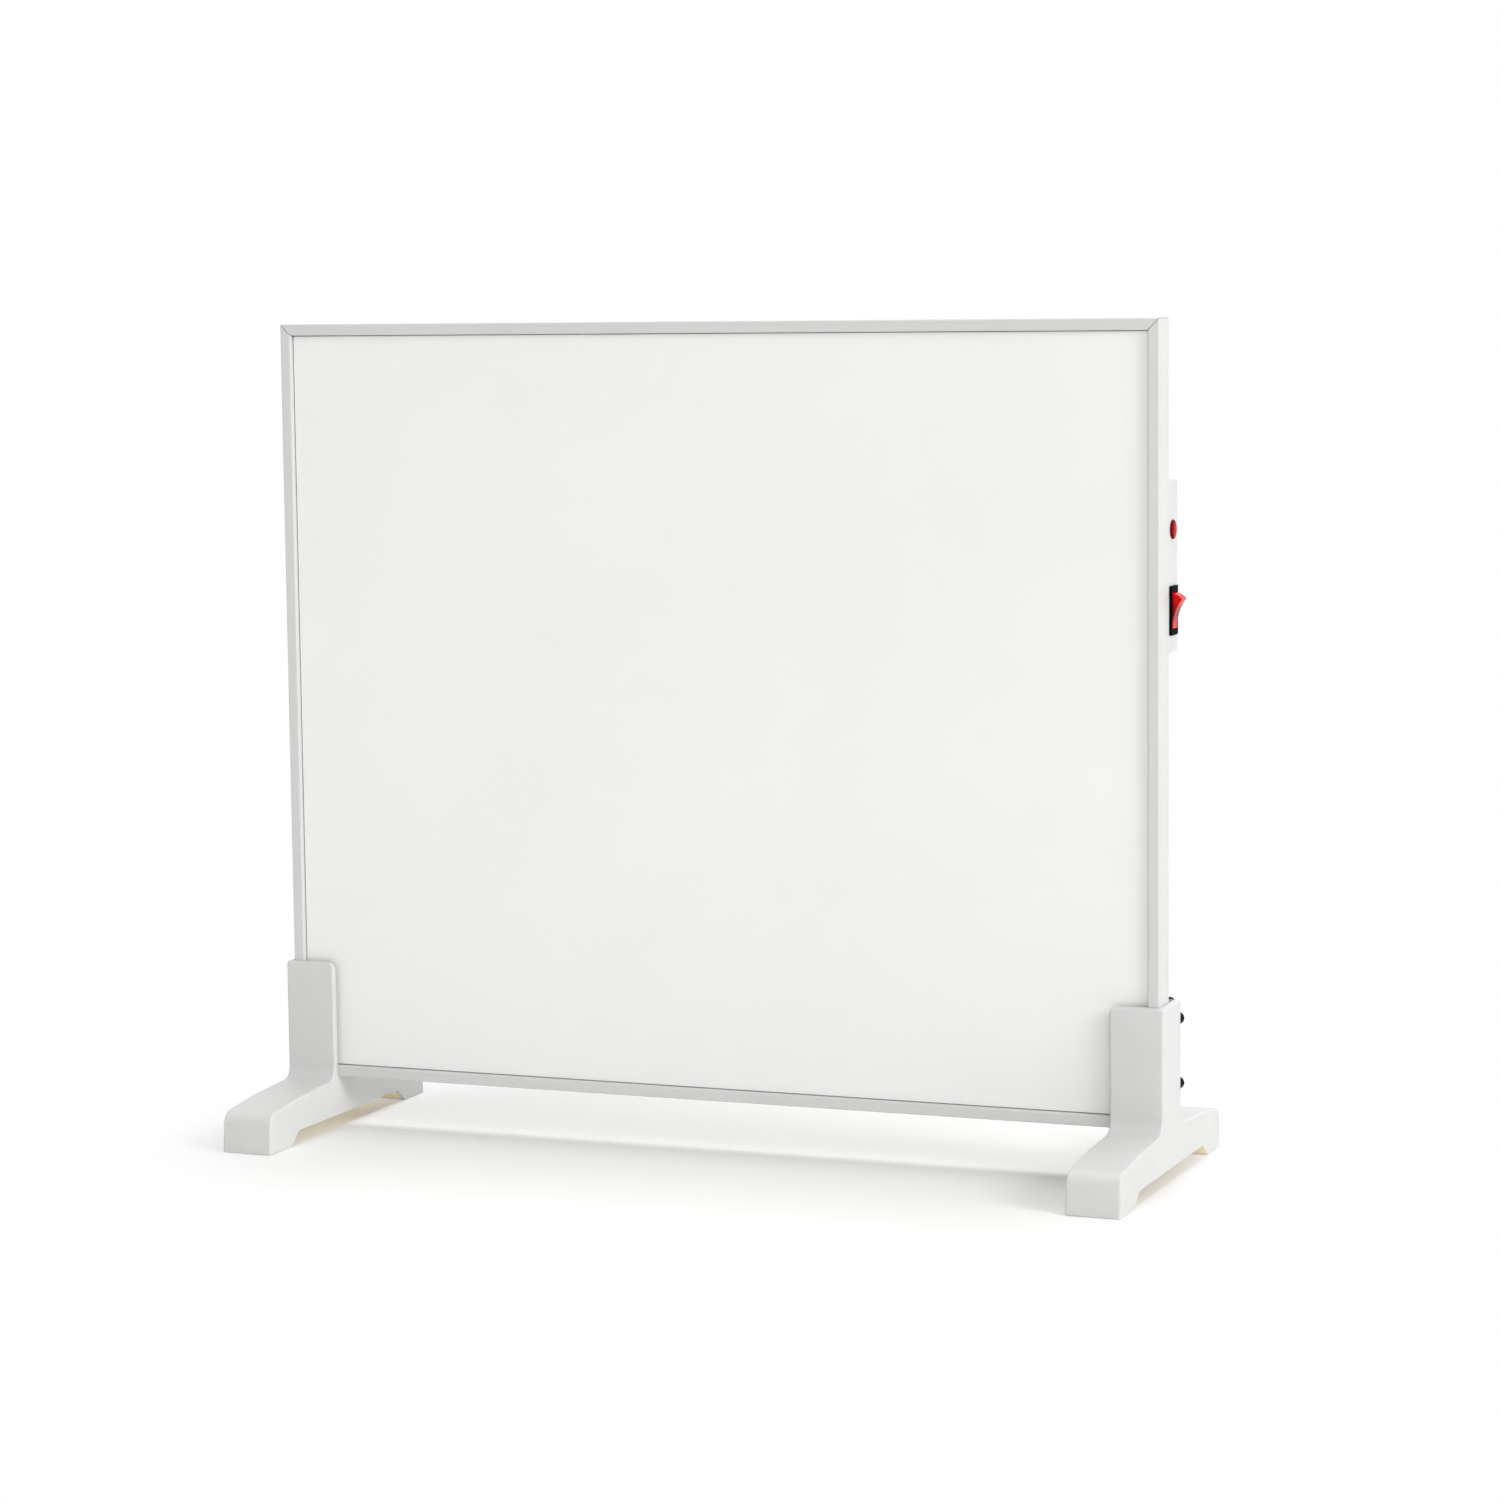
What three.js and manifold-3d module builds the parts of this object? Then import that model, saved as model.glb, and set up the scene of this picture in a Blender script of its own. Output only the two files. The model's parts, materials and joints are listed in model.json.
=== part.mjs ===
// Free-standing infrared panel heater: a thin framed heating panel, held upright by two
// T-shaped feet, with a switch box on its back.
// Millimetres, +Z up, the heating face looks towards -Y.
// The origin lies on the floor, in the middle of the box around the whole heater.
import * as THREE from 'three';
import { mergeVertices } from 'three/addons/utils/BufferGeometryUtils.js';
import Module from 'manifold-3d';

const wasm = await Module();
wasm.setup();

// Panel and frame
const panelWidth = 605;
const panelHeight = 505;
const frameDepth = 22;
const frameWall = 1.4;
const frameLip = 7.5; // width of the frame's front face
const frameReturn = 6.8; // depth of the lip's inner wall
const lipRadius = 1.4; // the lip's inner edge, towards the front sheet
const returnWall = 1.2;
const rearFlange = 10;
const sideGroove = 4; // a fine line along the frame's outer side, this far behind the front
const frameEdgeRadius = 0.9;
const mitreGap = 0.3;
const floorClearance = 35;
const fit = 0.3; // free gap between neighbours

// Layers of the panel, as depths behind the frame's front face
const faceRecess = 3.4;
const faceThickness = 1.2;
const faceGap = 0.4; // shadow gap between the lip and the front sheet
const trayFlangeAt = 7.1;
const filmAt = 4.9;
const filmThickness = 0.8;
const foilAt = 6;
const foilThickness = 0.3;
const boardAt = 6.6;
const boardThickness = 12.3;
const coverAt = 19.3;
const coverThickness = 1;

// Feet
const footLength = 228;
const footWidth = 35.2;
const footHeight = 112.8;
const uprightDepth = 40;
const footWall = 3;
const plateThickness = 3.7; // the plate in front of the frame
const toeDraft = 2.2; // the end of the toe leans back by this much up to its tip
const toeTipHeight = 26.3;
const toeBend = 44; // the toe's top is a little steeper this far from its end
const toeBendHeight = 31;
const toeRootHeight = 33.6;
const toeRadius = 8.5;
const rootRadius = 8.4;
const topRadius = 3;
const softEdge = 1.7;
const shoulderRadius = 6.8;
const archHeight = 9;
const archLength = 146;
const archSlope = 11;
const padThickness = 1.2;
const shellLift = 0.3; // the shell clears the floor by this much, on its rubber pads
const clampThickness = 3;
const clampBottom = toeRootHeight + rootRadius;
const footOuterX = panelWidth / 2 + 4;
const panelFrontY = -uprightDepth / 2 + plateThickness + fit;
const panelCentreZ = floorClearance + panelHeight / 2;

// Screws with round black grips, on the back of each foot
const gripRadius = 4;
const gripLength = 10;
const gripShankRadius = 1.9;
const footScrewInset = 4.5;
const footScrewHeights = [57.5, 99];
const clampScrewInset = 10;
const clampScrewHeight = footHeight - 4.5;

// Switch box
const boxWidth = 66;
const boxHeight = 107;
const boxBottom = 332.5;
const boxDepth = 19.7;
const boxWall = 2;
const boxSideX = panelWidth / 2 - 0.2;
const bossRadius = 3.5;
const bossInset = 6;
const sideCentreY = 8; // the switch and the lamp sit this far behind the box's open face
const switchHeight = 26.15;
const lampHeight = 76.5;
const glandX = -40;
const leadHole = new THREE.Vector2(-22, 58);
const leadHoleRadius = 4;

// Rocker switch
const bezelHeight = 30.9;
const bezelWidth = 15.4;
const bezelThickness = 1.5;
const switchBodyHeight = 27.2;
const switchBodyWidth = 13;
const switchBodyDepth = 20;
const rockerRadius = 11.5;
const rockerWidth = 10.6;
const rockerPivotDepth = 2.8; // the pivot lies this far behind the bezel's face
const rockerTip = THREE.MathUtils.degToRad(56.5);
const rockerTilt = THREE.MathUtils.degToRad(18); // from the middle to either side
const rockerBack = THREE.MathUtils.degToRad(99);
const bezelFaceX = boxSideX + 0.1 + bezelThickness;
const pivotX = bezelFaceX - rockerPivotDepth;

// The raised end of the rocker reaches past the foot, so the middle of the whole lies off the panel's.
const rockerReach = pivotX + rockerRadius * Math.cos(rockerTip - rockerTilt);
const centreX = -(rockerReach - footOuterX) / 2;

const finishes = {
  whiteFrame: { color: 0xf1f1f0, roughness: 0.42, metalness: 0 },
  whiteSheet: { color: 0xf6f6f5, roughness: 0.5, metalness: 0 },
  whitePlastic: { color: 0xf2f2f1, roughness: 0.5, metalness: 0 },
  blackPlastic: { color: 0x111112, roughness: 0.42, metalness: 0 },
  redLens: { color: 0xc8100c, roughness: 0.12, metalness: 0 },
  zincSteel: { color: 0xb9bcbe, roughness: 0.36, metalness: 1 },
  brass: { color: 0xc9a24a, roughness: 0.3, metalness: 1 },
  nickel: { color: 0xc4c2bb, roughness: 0.3, metalness: 1 },
  foil: { color: 0xd5d8da, roughness: 0.22, metalness: 1 },
  film: { color: 0x1b1b1d, roughness: 0.6, metalness: 0 },
  board: { color: 0xd9cf9f, roughness: 0.95, metalness: 0 },
  nylon: { color: 0xe9e4d4, roughness: 0.55, metalness: 0 },
  ceramic: { color: 0xefece2, roughness: 0.4, metalness: 0 },
  rubber: { color: 0x2a2a2b, roughness: 0.85, metalness: 0 },
  redWire: { color: 0x8e2b1e, roughness: 0.6, metalness: 0 },
  blueWire: { color: 0x2c4f8c, roughness: 0.6, metalness: 0 },
};

// ---------- shapes ----------

// A closed outline through [x, y, radius] corners, each rounded by its own radius.
function outline(corners) {
  const shape = new THREE.Shape();
  const count = corners.length;
  corners.forEach(([x, y, radius = 0], i) => {
    const corner = new THREE.Vector2(x, y);
    const before = new THREE.Vector2(...corners[(i + count - 1) % count]);
    const after = new THREE.Vector2(...corners[(i + 1) % count]);
    const start = corner.clone().add(before.sub(corner).setLength(radius));
    const end = corner.clone().add(after.sub(corner).setLength(radius));
    if (i === 0) shape.moveTo(start.x, start.y);
    else shape.lineTo(start.x, start.y);
    if (radius > 0) shape.quadraticCurveTo(x, y, end.x, end.y);
  });
  shape.closePath();
  return shape;
}

function rectangle(width, height, radius = 0) {
  const x = width / 2;
  const y = height / 2;
  return outline([[-x, -y, radius], [x, -y, radius], [x, y, radius], [-x, y, radius]]);
}

function hexagon(acrossFlats, boreRadius) {
  const radius = acrossFlats / Math.sqrt(3);
  const corners = Array.from({ length: 6 }, (_, i) => [
    radius * Math.cos((i * Math.PI) / 3),
    radius * Math.sin((i * Math.PI) / 3),
  ]);
  const shape = outline(corners);
  shape.holes.push(new THREE.Path().absarc(0, 0, boreRadius, 0, 2 * Math.PI, true));
  return shape;
}

function extrude(shape, depth, curveSegments = 4, bevel = 0, bevelSegments = 2) {
  return new THREE.ExtrudeGeometry(shape, {
    depth: depth - 2 * bevel,
    curveSegments,
    bevelEnabled: bevel > 0,
    bevelThickness: bevel,
    bevelSize: bevel,
    bevelOffset: -bevel,
    bevelSegments,
  }).translate(0, 0, bevel);
}

const axisX = new THREE.Vector3(1, 0, 0);
const axisY = new THREE.Vector3(0, 1, 0);
const axisZ = new THREE.Vector3(0, 0, 1);
const minusX = axisX.clone().negate();
const minusY = axisY.clone().negate();

// An outline drawn as seen from the side (Y, Z), pushed along +X.
function sideways(shape, depth, curveSegments, bevel, bevelSegments) {
  const turn = new THREE.Matrix4().makeBasis(axisY, axisZ, axisX);
  return extrude(shape, depth, curveSegments, bevel, bevelSegments).applyMatrix4(turn);
}

// An outline drawn as seen from the front (X, Z), pushed along +Y.
function backwards(shape, depth, curveSegments, bevel, bevelSegments) {
  const turn = new THREE.Matrix4().makeBasis(axisX, axisZ, minusY);
  return extrude(shape, depth, curveSegments, bevel, bevelSegments).applyMatrix4(turn).translate(0, depth, 0);
}

// A box from its lowest to its highest corner.
function block(low, high) {
  const size = high.map((value, i) => value - low[i]);
  const middle = high.map((value, i) => (value + low[i]) / 2);
  return new THREE.BoxGeometry(...size).translate(...middle);
}

// A turned solid about +Y, from [radius, height] points.
function turned(points, segments = 20) {
  const profile = points.map(([radius, height]) => new THREE.Vector2(radius, height));
  return new THREE.LatheGeometry(profile, segments);
}

function rod(radius, from, to, segments = 16) {
  return turned([[0, from], [radius, from], [radius, to], [0, to]], segments);
}

// ---------- joining and cutting ----------

function solidOf(geometry) {
  const plain = new THREE.BufferGeometry();
  plain.setAttribute('position', geometry.getAttribute('position').clone());
  if (geometry.index) plain.setIndex(geometry.index.clone());
  const merged = mergeVertices(plain, 1e-4);
  const triangles = [];
  for (let i = 0; i < merged.index.count; i += 3) {
    const [a, b, c] = merged.index.array.slice(i, i + 3);
    if (a !== b && b !== c && c !== a) triangles.push(a, b, c);
  }
  return new wasm.Manifold(new wasm.Mesh({
    numProp: 3,
    vertProperties: new Float32Array(merged.getAttribute('position').array),
    triVerts: new Uint32Array(triangles),
  }));
}

function geometryOf(solid) {
  const mesh = solid.getMesh();
  const geometry = new THREE.BufferGeometry();
  geometry.setAttribute('position', new THREE.BufferAttribute(new Float32Array(mesh.vertProperties), 3));
  geometry.setIndex(new THREE.BufferAttribute(new Uint32Array(mesh.triVerts), 1));
  geometry.computeVertexNormals();
  return geometry;
}

function join(...geometries) {
  return geometryOf(geometries.map(solidOf).reduce((sum, next) => sum.add(next)));
}

function cut(geometry, ...tools) {
  return geometryOf(tools.map(solidOf).reduce((left, tool) => left.subtract(tool), solidOf(geometry)));
}

function common(geometry, other) {
  return geometryOf(solidOf(geometry).intersect(solidOf(other)));
}

// The left-hand version of a right-hand piece.
function mirrored(geometry) {
  const flipped = geometry.clone().scale(-1, 1, 1);
  const order = flipped.index.array;
  for (let i = 0; i < order.length; i += 3) [order[i], order[i + 1]] = [order[i + 1], order[i]];
  flipped.computeVertexNormals();
  return flipped;
}

function piece(name, geometry, finish) {
  const mesh = new THREE.Mesh(geometry, new THREE.MeshStandardMaterial(finishes[finish]));
  mesh.name = name;
  return mesh;
}

// ---------- fasteners ----------

// Pan-head screw along +Y: the head's underside is at 0 and the shank runs towards -Y.
function panScrew(shankRadius, length, headRadius, headHeight) {
  const body = turned([
    [0, -length],
    [shankRadius * 0.6, -length],
    [shankRadius, -length + shankRadius],
    [shankRadius, 0],
    [headRadius, 0],
    [headRadius, headHeight * 0.45],
    [headRadius * 0.72, headHeight * 0.9],
    [0, headHeight],
  ], 16);
  const arm = headRadius * 0.5;
  const slot = headRadius * 0.11;
  const depth = headHeight * 0.45;
  return cut(
    body,
    block([-arm, depth, -slot], [arm, headHeight + 1, slot]),
    block([-slot, depth, -arm], [slot, headHeight + 1, arm]),
  );
}

// Screw with a fluted black grip, along +Y: the grip's underside is at 0.
function gripScrew(shankLength) {
  const flutes = 12;
  const pointsPerFlute = 4;
  const flute = 0.18;
  const rim = Array.from({ length: flutes * pointsPerFlute }, (_, i) => {
    const angle = (i * 2 * Math.PI) / (flutes * pointsPerFlute);
    const radius = gripRadius - flute + flute * Math.cos(flutes * angle);
    return [radius * Math.cos(angle), radius * Math.sin(angle)];
  });
  const grip = backwards(outline(rim), gripLength, 1, 0.7, 1);
  return join(grip, rod(gripShankRadius, -shankLength, 1));
}

// ---------- frame ----------

// One rail, drawn as the bottom one, with its outer edge at z = 0 and its front face at y = 0.
function rail(length) {
  const v = 0.4;
  const section = outline([
    [0, 0, frameEdgeRadius],
    [frameLip, 0, lipRadius],
    [frameLip, frameReturn],
    [frameLip - returnWall, frameReturn],
    [frameLip - returnWall, frameWall],
    [frameWall, frameWall],
    [frameWall, frameDepth - frameWall],
    [rearFlange, frameDepth - frameWall],
    [rearFlange, frameDepth],
    [0, frameDepth, 0.4],
    [0, sideGroove + v],
    [v, sideGroove],
    [0, sideGroove - v],
  ]);
  const turn = new THREE.Matrix4().makeBasis(axisZ, axisY, minusX);
  const bar = extrude(section, length, 3).translate(0, 0, -length / 2).applyMatrix4(turn);
  const position = bar.getAttribute('position');
  for (let i = 0; i < position.count; i += 1) {
    const mitred = length / 2 - position.getZ(i) - mitreGap / 2;
    position.setX(i, Math.sign(position.getX(i)) * mitred);
  }
  return bar;
}

// The four sides of the panel. Each turn carries the bottom rail to its side.
const sides = [
  { name: 'bottom', length: panelWidth, reach: panelHeight / 2, turn: 0 },
  { name: 'right', length: panelHeight, reach: panelWidth / 2, turn: -Math.PI / 2 },
  { name: 'top', length: panelWidth, reach: panelHeight / 2, turn: Math.PI },
  { name: 'left', length: panelHeight, reach: panelWidth / 2, turn: Math.PI / 2 },
];

// Moves a piece drawn at the bottom rail to its own side of the panel.
function toSide(mesh, side) {
  mesh.rotation.y = side.turn;
  mesh.position.set(-Math.sin(side.turn) * side.reach, 0, -Math.cos(side.turn) * side.reach);
  return mesh;
}

const coverScrewInset = 5;
const coverScrewRadius = 1.4;
const screwClearance = 0.15;
const coverScrewPlaces = { bottom: [-190, 190], right: [-90, 200], top: [-190, 190], left: [-200, 90] };
const boxScrewRadius = 1.5;
const boxBossHeights = [bossInset, boxHeight - bossInset];
const boxScrewX = [-bossInset, -boxWidth + bossInset];

// A hole from the back through whatever lies at (x, z).
function rearHole(x, z, radius) {
  return rod(radius + screwClearance, coverAt - 1, frameDepth + 1, 12).translate(x, 0, z);
}

function panelHeightOf(boxZ) {
  return boxBottom + boxZ - panelCentreZ;
}

function addFrame(panel) {
  const holesAt = { right: boxBossHeights.map(panelHeightOf) };
  sides.forEach((side) => {
    const screwHoles = coverScrewPlaces[side.name].map((x) => rearHole(x, coverScrewInset, coverScrewRadius));
    const boxHoles = (holesAt[side.name] ?? []).map((z) => (
      rearHole(z, side.reach - boxSideX + bossInset, boxScrewRadius)));
    const bar = cut(rail(side.length), ...screwHoles, ...boxHoles);
    panel.add(toSide(piece(`frame_${side.name}`, bar, 'whiteFrame'), side));
    coverScrewPlaces[side.name].forEach((x, i) => {
      const screw = panScrew(coverScrewRadius, frameDepth - coverAt + 0.5, 2.8, 1.6);
      screw.translate(x, frameDepth + 0.1, coverScrewInset);
      panel.add(toSide(piece(`cover_screw_${side.name}_${i + 1}`, screw, 'zincSteel'), side));
    });
  });
}

// An L-shaped key in the frame's front channel joins two rails at a corner.
function addCornerKeys(panel) {
  const inner = frameWall + fit;
  const outer = frameLip - returnWall - fit;
  const arm = 30;
  const shape = outline([
    [inner, inner],
    [arm, inner],
    [arm, outer],
    [outer, outer],
    [outer, arm],
    [inner, arm],
  ]);
  const corners = [
    ['bottom_left', -1, -1, 0],
    ['bottom_right', 1, -1, -1],
    ['top_right', 1, 1, 2],
    ['top_left', -1, 1, 1],
  ];
  corners.forEach(([name, x, z, quarter]) => {
    const key = piece(`corner_key_${name}`, backwards(shape, 4.6), 'zincSteel');
    key.rotation.y = (quarter * Math.PI) / 2;
    key.position.set((x * panelWidth) / 2, frameWall + fit, (z * panelHeight) / 2);
    panel.add(key);
  });
}

// ---------- panel layers ----------

// A flat sheet of the panel: its edges lie this far inside the frame's outer sides.
function sheet(inset, depth, thickness, radius = 0) {
  const shape = rectangle(panelWidth - 2 * inset, panelHeight - 2 * inset, radius);
  return backwards(shape, thickness, 3).translate(0, depth, 0);
}

// A rectangular ring between two insets.
function ring(outerInset, innerInset, depth, thickness) {
  return cut(sheet(outerInset, depth, thickness), sheet(innerInset, depth - 1, thickness + 2));
}

// The front sheet is a shallow tray: a flat face, a wall round it and a flange that the frame's lip holds.
function frontTray() {
  const edge = frameLip + faceGap;
  const wall = 1;
  return join(
    sheet(edge, faceRecess, faceThickness, 1.2),
    ring(edge, edge + wall, faceRecess + 0.5, trayFlangeAt - faceRecess),
    ring(frameWall + 2 * fit, edge + wall, trayFlangeAt, wall),
  );
}

function addLayers(panel) {
  const inset = frameLip + faceGap + 1.5;
  const lead = new THREE.Vector3(boxSideX + leadHole.x, 0, panelHeightOf(leadHole.y));
  const leadCut = rod(leadHoleRadius, foilAt - 1, frameDepth + 1, 16).translate(lead.x, 0, lead.z);
  panel.add(piece('front_panel', frontTray(), 'whiteSheet'));
  panel.add(piece('heating_film', sheet(inset, filmAt, filmThickness), 'film'));
  panel.add(piece('reflector_foil', cut(sheet(inset, foilAt, foilThickness), leadCut), 'foil'));
  panel.add(piece('insulation_board', cut(sheet(inset, boardAt, boardThickness), leadCut), 'board'));
  const screwHoles = sides.flatMap((side) => coverScrewPlaces[side.name].map((along) => {
    const place = new THREE.Vector3(along, 0, coverScrewInset - side.reach).applyAxisAngle(axisY, side.turn);
    return rearHole(place.x, place.z, coverScrewRadius);
  }));
  const boxHoles = boxBossHeights.flatMap((z) => boxScrewX.map((x) => (
    rearHole(boxSideX + x, panelHeightOf(z), boxScrewRadius))));
  const cover = sheet(frameWall + 2 * fit, coverAt, coverThickness, 2);
  panel.add(piece('back_cover', cut(cover, leadCut, ...screwHoles, ...boxHoles), 'whiteSheet'));
}

// ---------- switch box ----------
// Its own axes: x = 0 at the outer side face, y = 0 at the open face, z = 0 at the bottom.

function boxHousing() {
  const outside = sideways(rectangle(boxDepth, boxHeight), boxWidth, 3, 0.9, 2);
  const shell = cut(
    outside.translate(-boxWidth, boxDepth / 2, boxHeight / 2),
    block([-boxWidth + boxWall, -1, boxWall], [-boxWall, boxDepth - boxWall, boxHeight - boxWall]),
    block([-boxWidth - 1, -1, -1], [1, 0.9, boxHeight + 1]),
  );
  const rim = cut(
    block([-boxWidth, 0, 0], [0, 2, boxHeight]),
    block([-boxWidth + boxWall, -1, boxWall], [-boxWall, 3, boxHeight - boxWall]),
  );
  const bosses = boxBossHeights.flatMap((z) => boxScrewX.map((x) => (
    rod(bossRadius, 0.2, boxDepth - 1, 16).translate(x, 0, z))));
  const bossHoles = boxBossHeights.flatMap((z) => boxScrewX.map((x) => (
    rod(boxScrewRadius + screwClearance, -1, boxDepth + 1, 12).translate(x, 0, z))));
  const switchCut = block(
    [-boxWall - 1, sideCentreY - switchBodyWidth / 2 - fit, switchHeight - switchBodyHeight / 2 - fit],
    [1, sideCentreY + switchBodyWidth / 2 + fit, switchHeight + switchBodyHeight / 2 + fit],
  );
  const lampCut = alongX(rod(lampBodyRadius + fit, -boxWall - 1, 1)).translate(0, sideCentreY, lampHeight);
  const glandCut = alongZ(rod(glandThreadRadius + fit, -1, boxWall + 1)).translate(glandX, boxDepth / 2, 0);
  return cut(join(shell, rim, ...bosses), ...bossHoles, switchCut, lampCut, glandCut);
}

function alongX(geometry) {
  return geometry.rotateZ(-Math.PI / 2);
}

function alongZ(geometry) {
  return geometry.rotateX(Math.PI / 2);
}

// A plate inside the frame's rear opening carries the box and the parts in it.
function boxBase() {
  const flangeEdge = rearFlange - (panelWidth / 2 - boxSideX) + fit;
  const plate = block(
    [-boxWidth + 0.5, coverAt + coverThickness + 0.1 - frameDepth - fit, 0.5],
    [-flangeEdge, -fit, boxHeight - 0.5],
  );
  const holes = boxBossHeights.map((z) => (
    rod(boxScrewRadius + screwClearance, -4, 1, 12).translate(-boxWidth + bossInset, 0, z)));
  const lead = rod(leadHoleRadius, -4, 1, 16).translate(leadHole.x, 0, leadHole.y);
  return cut(plate, ...holes, lead);
}

function addBoxShell(box) {
  box.add(piece('box_base', boxBase(), 'whiteSheet'));
  box.add(piece('box_housing', boxHousing(), 'whitePlastic'));
  const places = [['upper', boxBossHeights[1]], ['lower', boxBossHeights[0]]];
  places.forEach(([level, z]) => boxScrewX.forEach((x, i) => {
    const name = `box_screw_${level}_${i ? 'inner' : 'outer'}`;
    const screw = piece(name, panScrew(boxScrewRadius, boxDepth + 3, 2.9, 2), 'zincSteel');
    screw.position.set(x, boxDepth + 0.1, z);
    box.add(screw);
  }));
}

// ---------- rocker switch ----------
// Its own axes: the origin is the rocker's pivot, x points out of the box.

function switchBody() {
  const back = rockerPivotDepth - bezelThickness;
  const plate = sideways(rectangle(bezelWidth, bezelHeight, 1), bezelThickness, 3, 0.4, 1);
  const bezel = plate.translate(back, 0, 0);
  const body = block(
    [back - switchBodyDepth, -switchBodyWidth / 2, -switchBodyHeight / 2],
    [back + 0.5, switchBodyWidth / 2, switchBodyHeight / 2],
  );
  const half = rockerWidth / 2 + 0.2;
  const well = block([-6.6, -half, -rockerRadius - 0.2], [rockerPivotDepth + 1, half, rockerRadius + 0.2]);
  const pivotHole = rod(rockerPin + 0.1, -half - 0.8, half + 0.8, 24);
  const slots = terminalHeights.map((z) => (
    block([back - switchBodyDepth - 1, -2.6, z - 0.6], [back - switchBodyDepth + 3.3, 2.6, z + 0.6])));
  return cut(join(bezel, body), well, pivotHole, ...slots);
}

const rockerPin = 1.5;
const terminalHeights = [-9, 0, 9];

// The rocker in its middle position: its ends are arcs about the pivot and its face is dished.
function rocker() {
  const tip = new THREE.Vector2(Math.cos(rockerTip), Math.sin(rockerTip)).multiplyScalar(rockerRadius);
  const dish = 3.4;
  const shape = new THREE.Shape();
  shape.absarc(0, 0, rockerRadius, -rockerBack, -rockerTip, false);
  shape.quadraticCurveTo(tip.x - dish, 0, tip.x, tip.y);
  shape.absarc(0, 0, rockerRadius, rockerTip, rockerBack, false);
  shape.closePath();
  const lever = backwards(shape, rockerWidth, 8).translate(0, -rockerWidth / 2, 0);
  const pin = rockerWidth / 2 + 0.7;
  return join(lever, rod(rockerPin, -pin, pin, 24));
}

function addSwitch(box) {
  const unit = new THREE.Group();
  unit.position.set(pivotX - boxSideX, sideCentreY, switchHeight);
  unit.add(piece('switch_body', switchBody(), 'blackPlastic'));
  const lever = piece('switch_rocker', rocker(), 'redLens');
  lever.rotation.y = rockerTilt;
  unit.add(lever);
  const back = rockerPivotDepth - bezelThickness - switchBodyDepth;
  terminalHeights.forEach((z, i) => {
    const blade = block([back - 7.5, -2.4, z - 0.4], [back + 3, 2.4, z + 0.4]);
    unit.add(piece(`switch_terminal_${i + 1}`, blade, 'brass'));
  });
  box.add(unit);
}

// ---------- neon lamp ----------

const lensRadius = 6.1;
const lensRise = 2.1;
const lampBodyRadius = 4.8;
const lampBodyDepth = 22;

function addLamp(box) {
  const unit = new THREE.Group();
  unit.position.set(0, sideCentreY, lampHeight);
  const dome = Array.from({ length: 7 }, (_, i) => {
    const angle = (i * Math.PI) / 12;
    return [lensRadius * Math.cos(angle), 0.6 + (lensRise - 0.6) * Math.sin(angle)];
  });
  const stem = [[0, -3], [3.6, -3], [3.6, 0.1], [lensRadius, 0.1]];
  const lens = alongX(turned([...stem, ...dome.slice(0, 6), [0, lensRise]], 28));
  const body = alongX(turned([
    [0, -lampBodyDepth],
    [lampBodyRadius - 0.6, -lampBodyDepth],
    [lampBodyRadius, -lampBodyDepth + 0.6],
    [lampBodyRadius, -0.3],
    [3.9, -0.3],
    [3.9, -3.3],
    [0, -3.3],
  ], 20));
  const nut = sideways(hexagon(13, lampBodyRadius + fit), 3, 6).translate(-boxWall - fit - 3, 0, 0);
  unit.add(piece('lamp_lens', lens, 'redLens'));
  unit.add(piece('lamp_body', body, 'blackPlastic'));
  unit.add(piece('lamp_nut', nut, 'nickel'));
  box.add(unit);
}

// ---------- cable gland ----------
// Its own axes: z = 0 at the outside of the box's bottom wall, and the cord would leave towards -z.

const glandThreadRadius = 5.9;
const cordBore = 3.4;

function addGland(box) {
  const unit = new THREE.Group();
  unit.position.set(glandX, boxDepth / 2, 0);
  const flange = extrude(hexagon(15, cordBore + 1.2), 4.6, 6).translate(0, 0, -4.8);
  const tube = alongZ(turned([
    [cordBore + 1.2, -12.5],
    [glandThreadRadius - 0.5, -12.5],
    [glandThreadRadius, -12],
    [glandThreadRadius, 8.5],
    [cordBore + 1.2, 8.5],
    [cordBore + 1.2, -12.5],
  ], 20));
  const cap = alongZ(turned([
    [4.2, -17],
    [5.4, -17],
    [7.1, -14.2],
    [7.3, -5.2],
    [glandThreadRadius + 0.2, -5.2],
    [glandThreadRadius + 0.2, -12.9],
    [4.2, -13.6],
    [4.2, -17],
  ], 20));
  const seal = alongZ(turned([
    [cordBore, -13.2],
    [cordBore + 0.7, -13.2],
    [cordBore + 0.9, -12.4],
    [cordBore + 0.9, -4],
    [cordBore, -4],
    [cordBore, -13.2],
  ], 20));
  const locknut = extrude(hexagon(14.4, glandThreadRadius + 0.2), 3.5, 6).translate(0, 0, boxWall + fit);
  unit.add(piece('gland_body', join(flange, tube), 'whitePlastic'));
  unit.add(piece('gland_cap_nut', cap, 'whitePlastic'));
  unit.add(piece('gland_seal', seal, 'rubber'));
  unit.add(piece('gland_locknut', locknut, 'whitePlastic'));
  box.add(unit);
}

// ---------- electrical parts inside the box ----------

const blockX = -47;
const blockHeight = 80;
const blockDepth = 12;
const blockBores = [-9, 0, 9];
const cutoutHeight = 51;
const wireRadius = 1.1;

function terminalBlock() {
  const body = block([blockX - 14, fit, blockHeight - 7], [blockX + 14, fit + blockDepth, blockHeight + 7]);
  const wireBores = blockBores.map((x) => (
    alongZ(rod(1.7, -8, 8, 10)).translate(blockX + x, fit + 5, blockHeight)));
  const screwBores = blockBores.map((x) => (
    rod(1.9, 5, blockDepth + 1, 10).translate(blockX + x, 0, blockHeight)));
  return cut(body, ...wireBores, ...screwBores);
}

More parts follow.
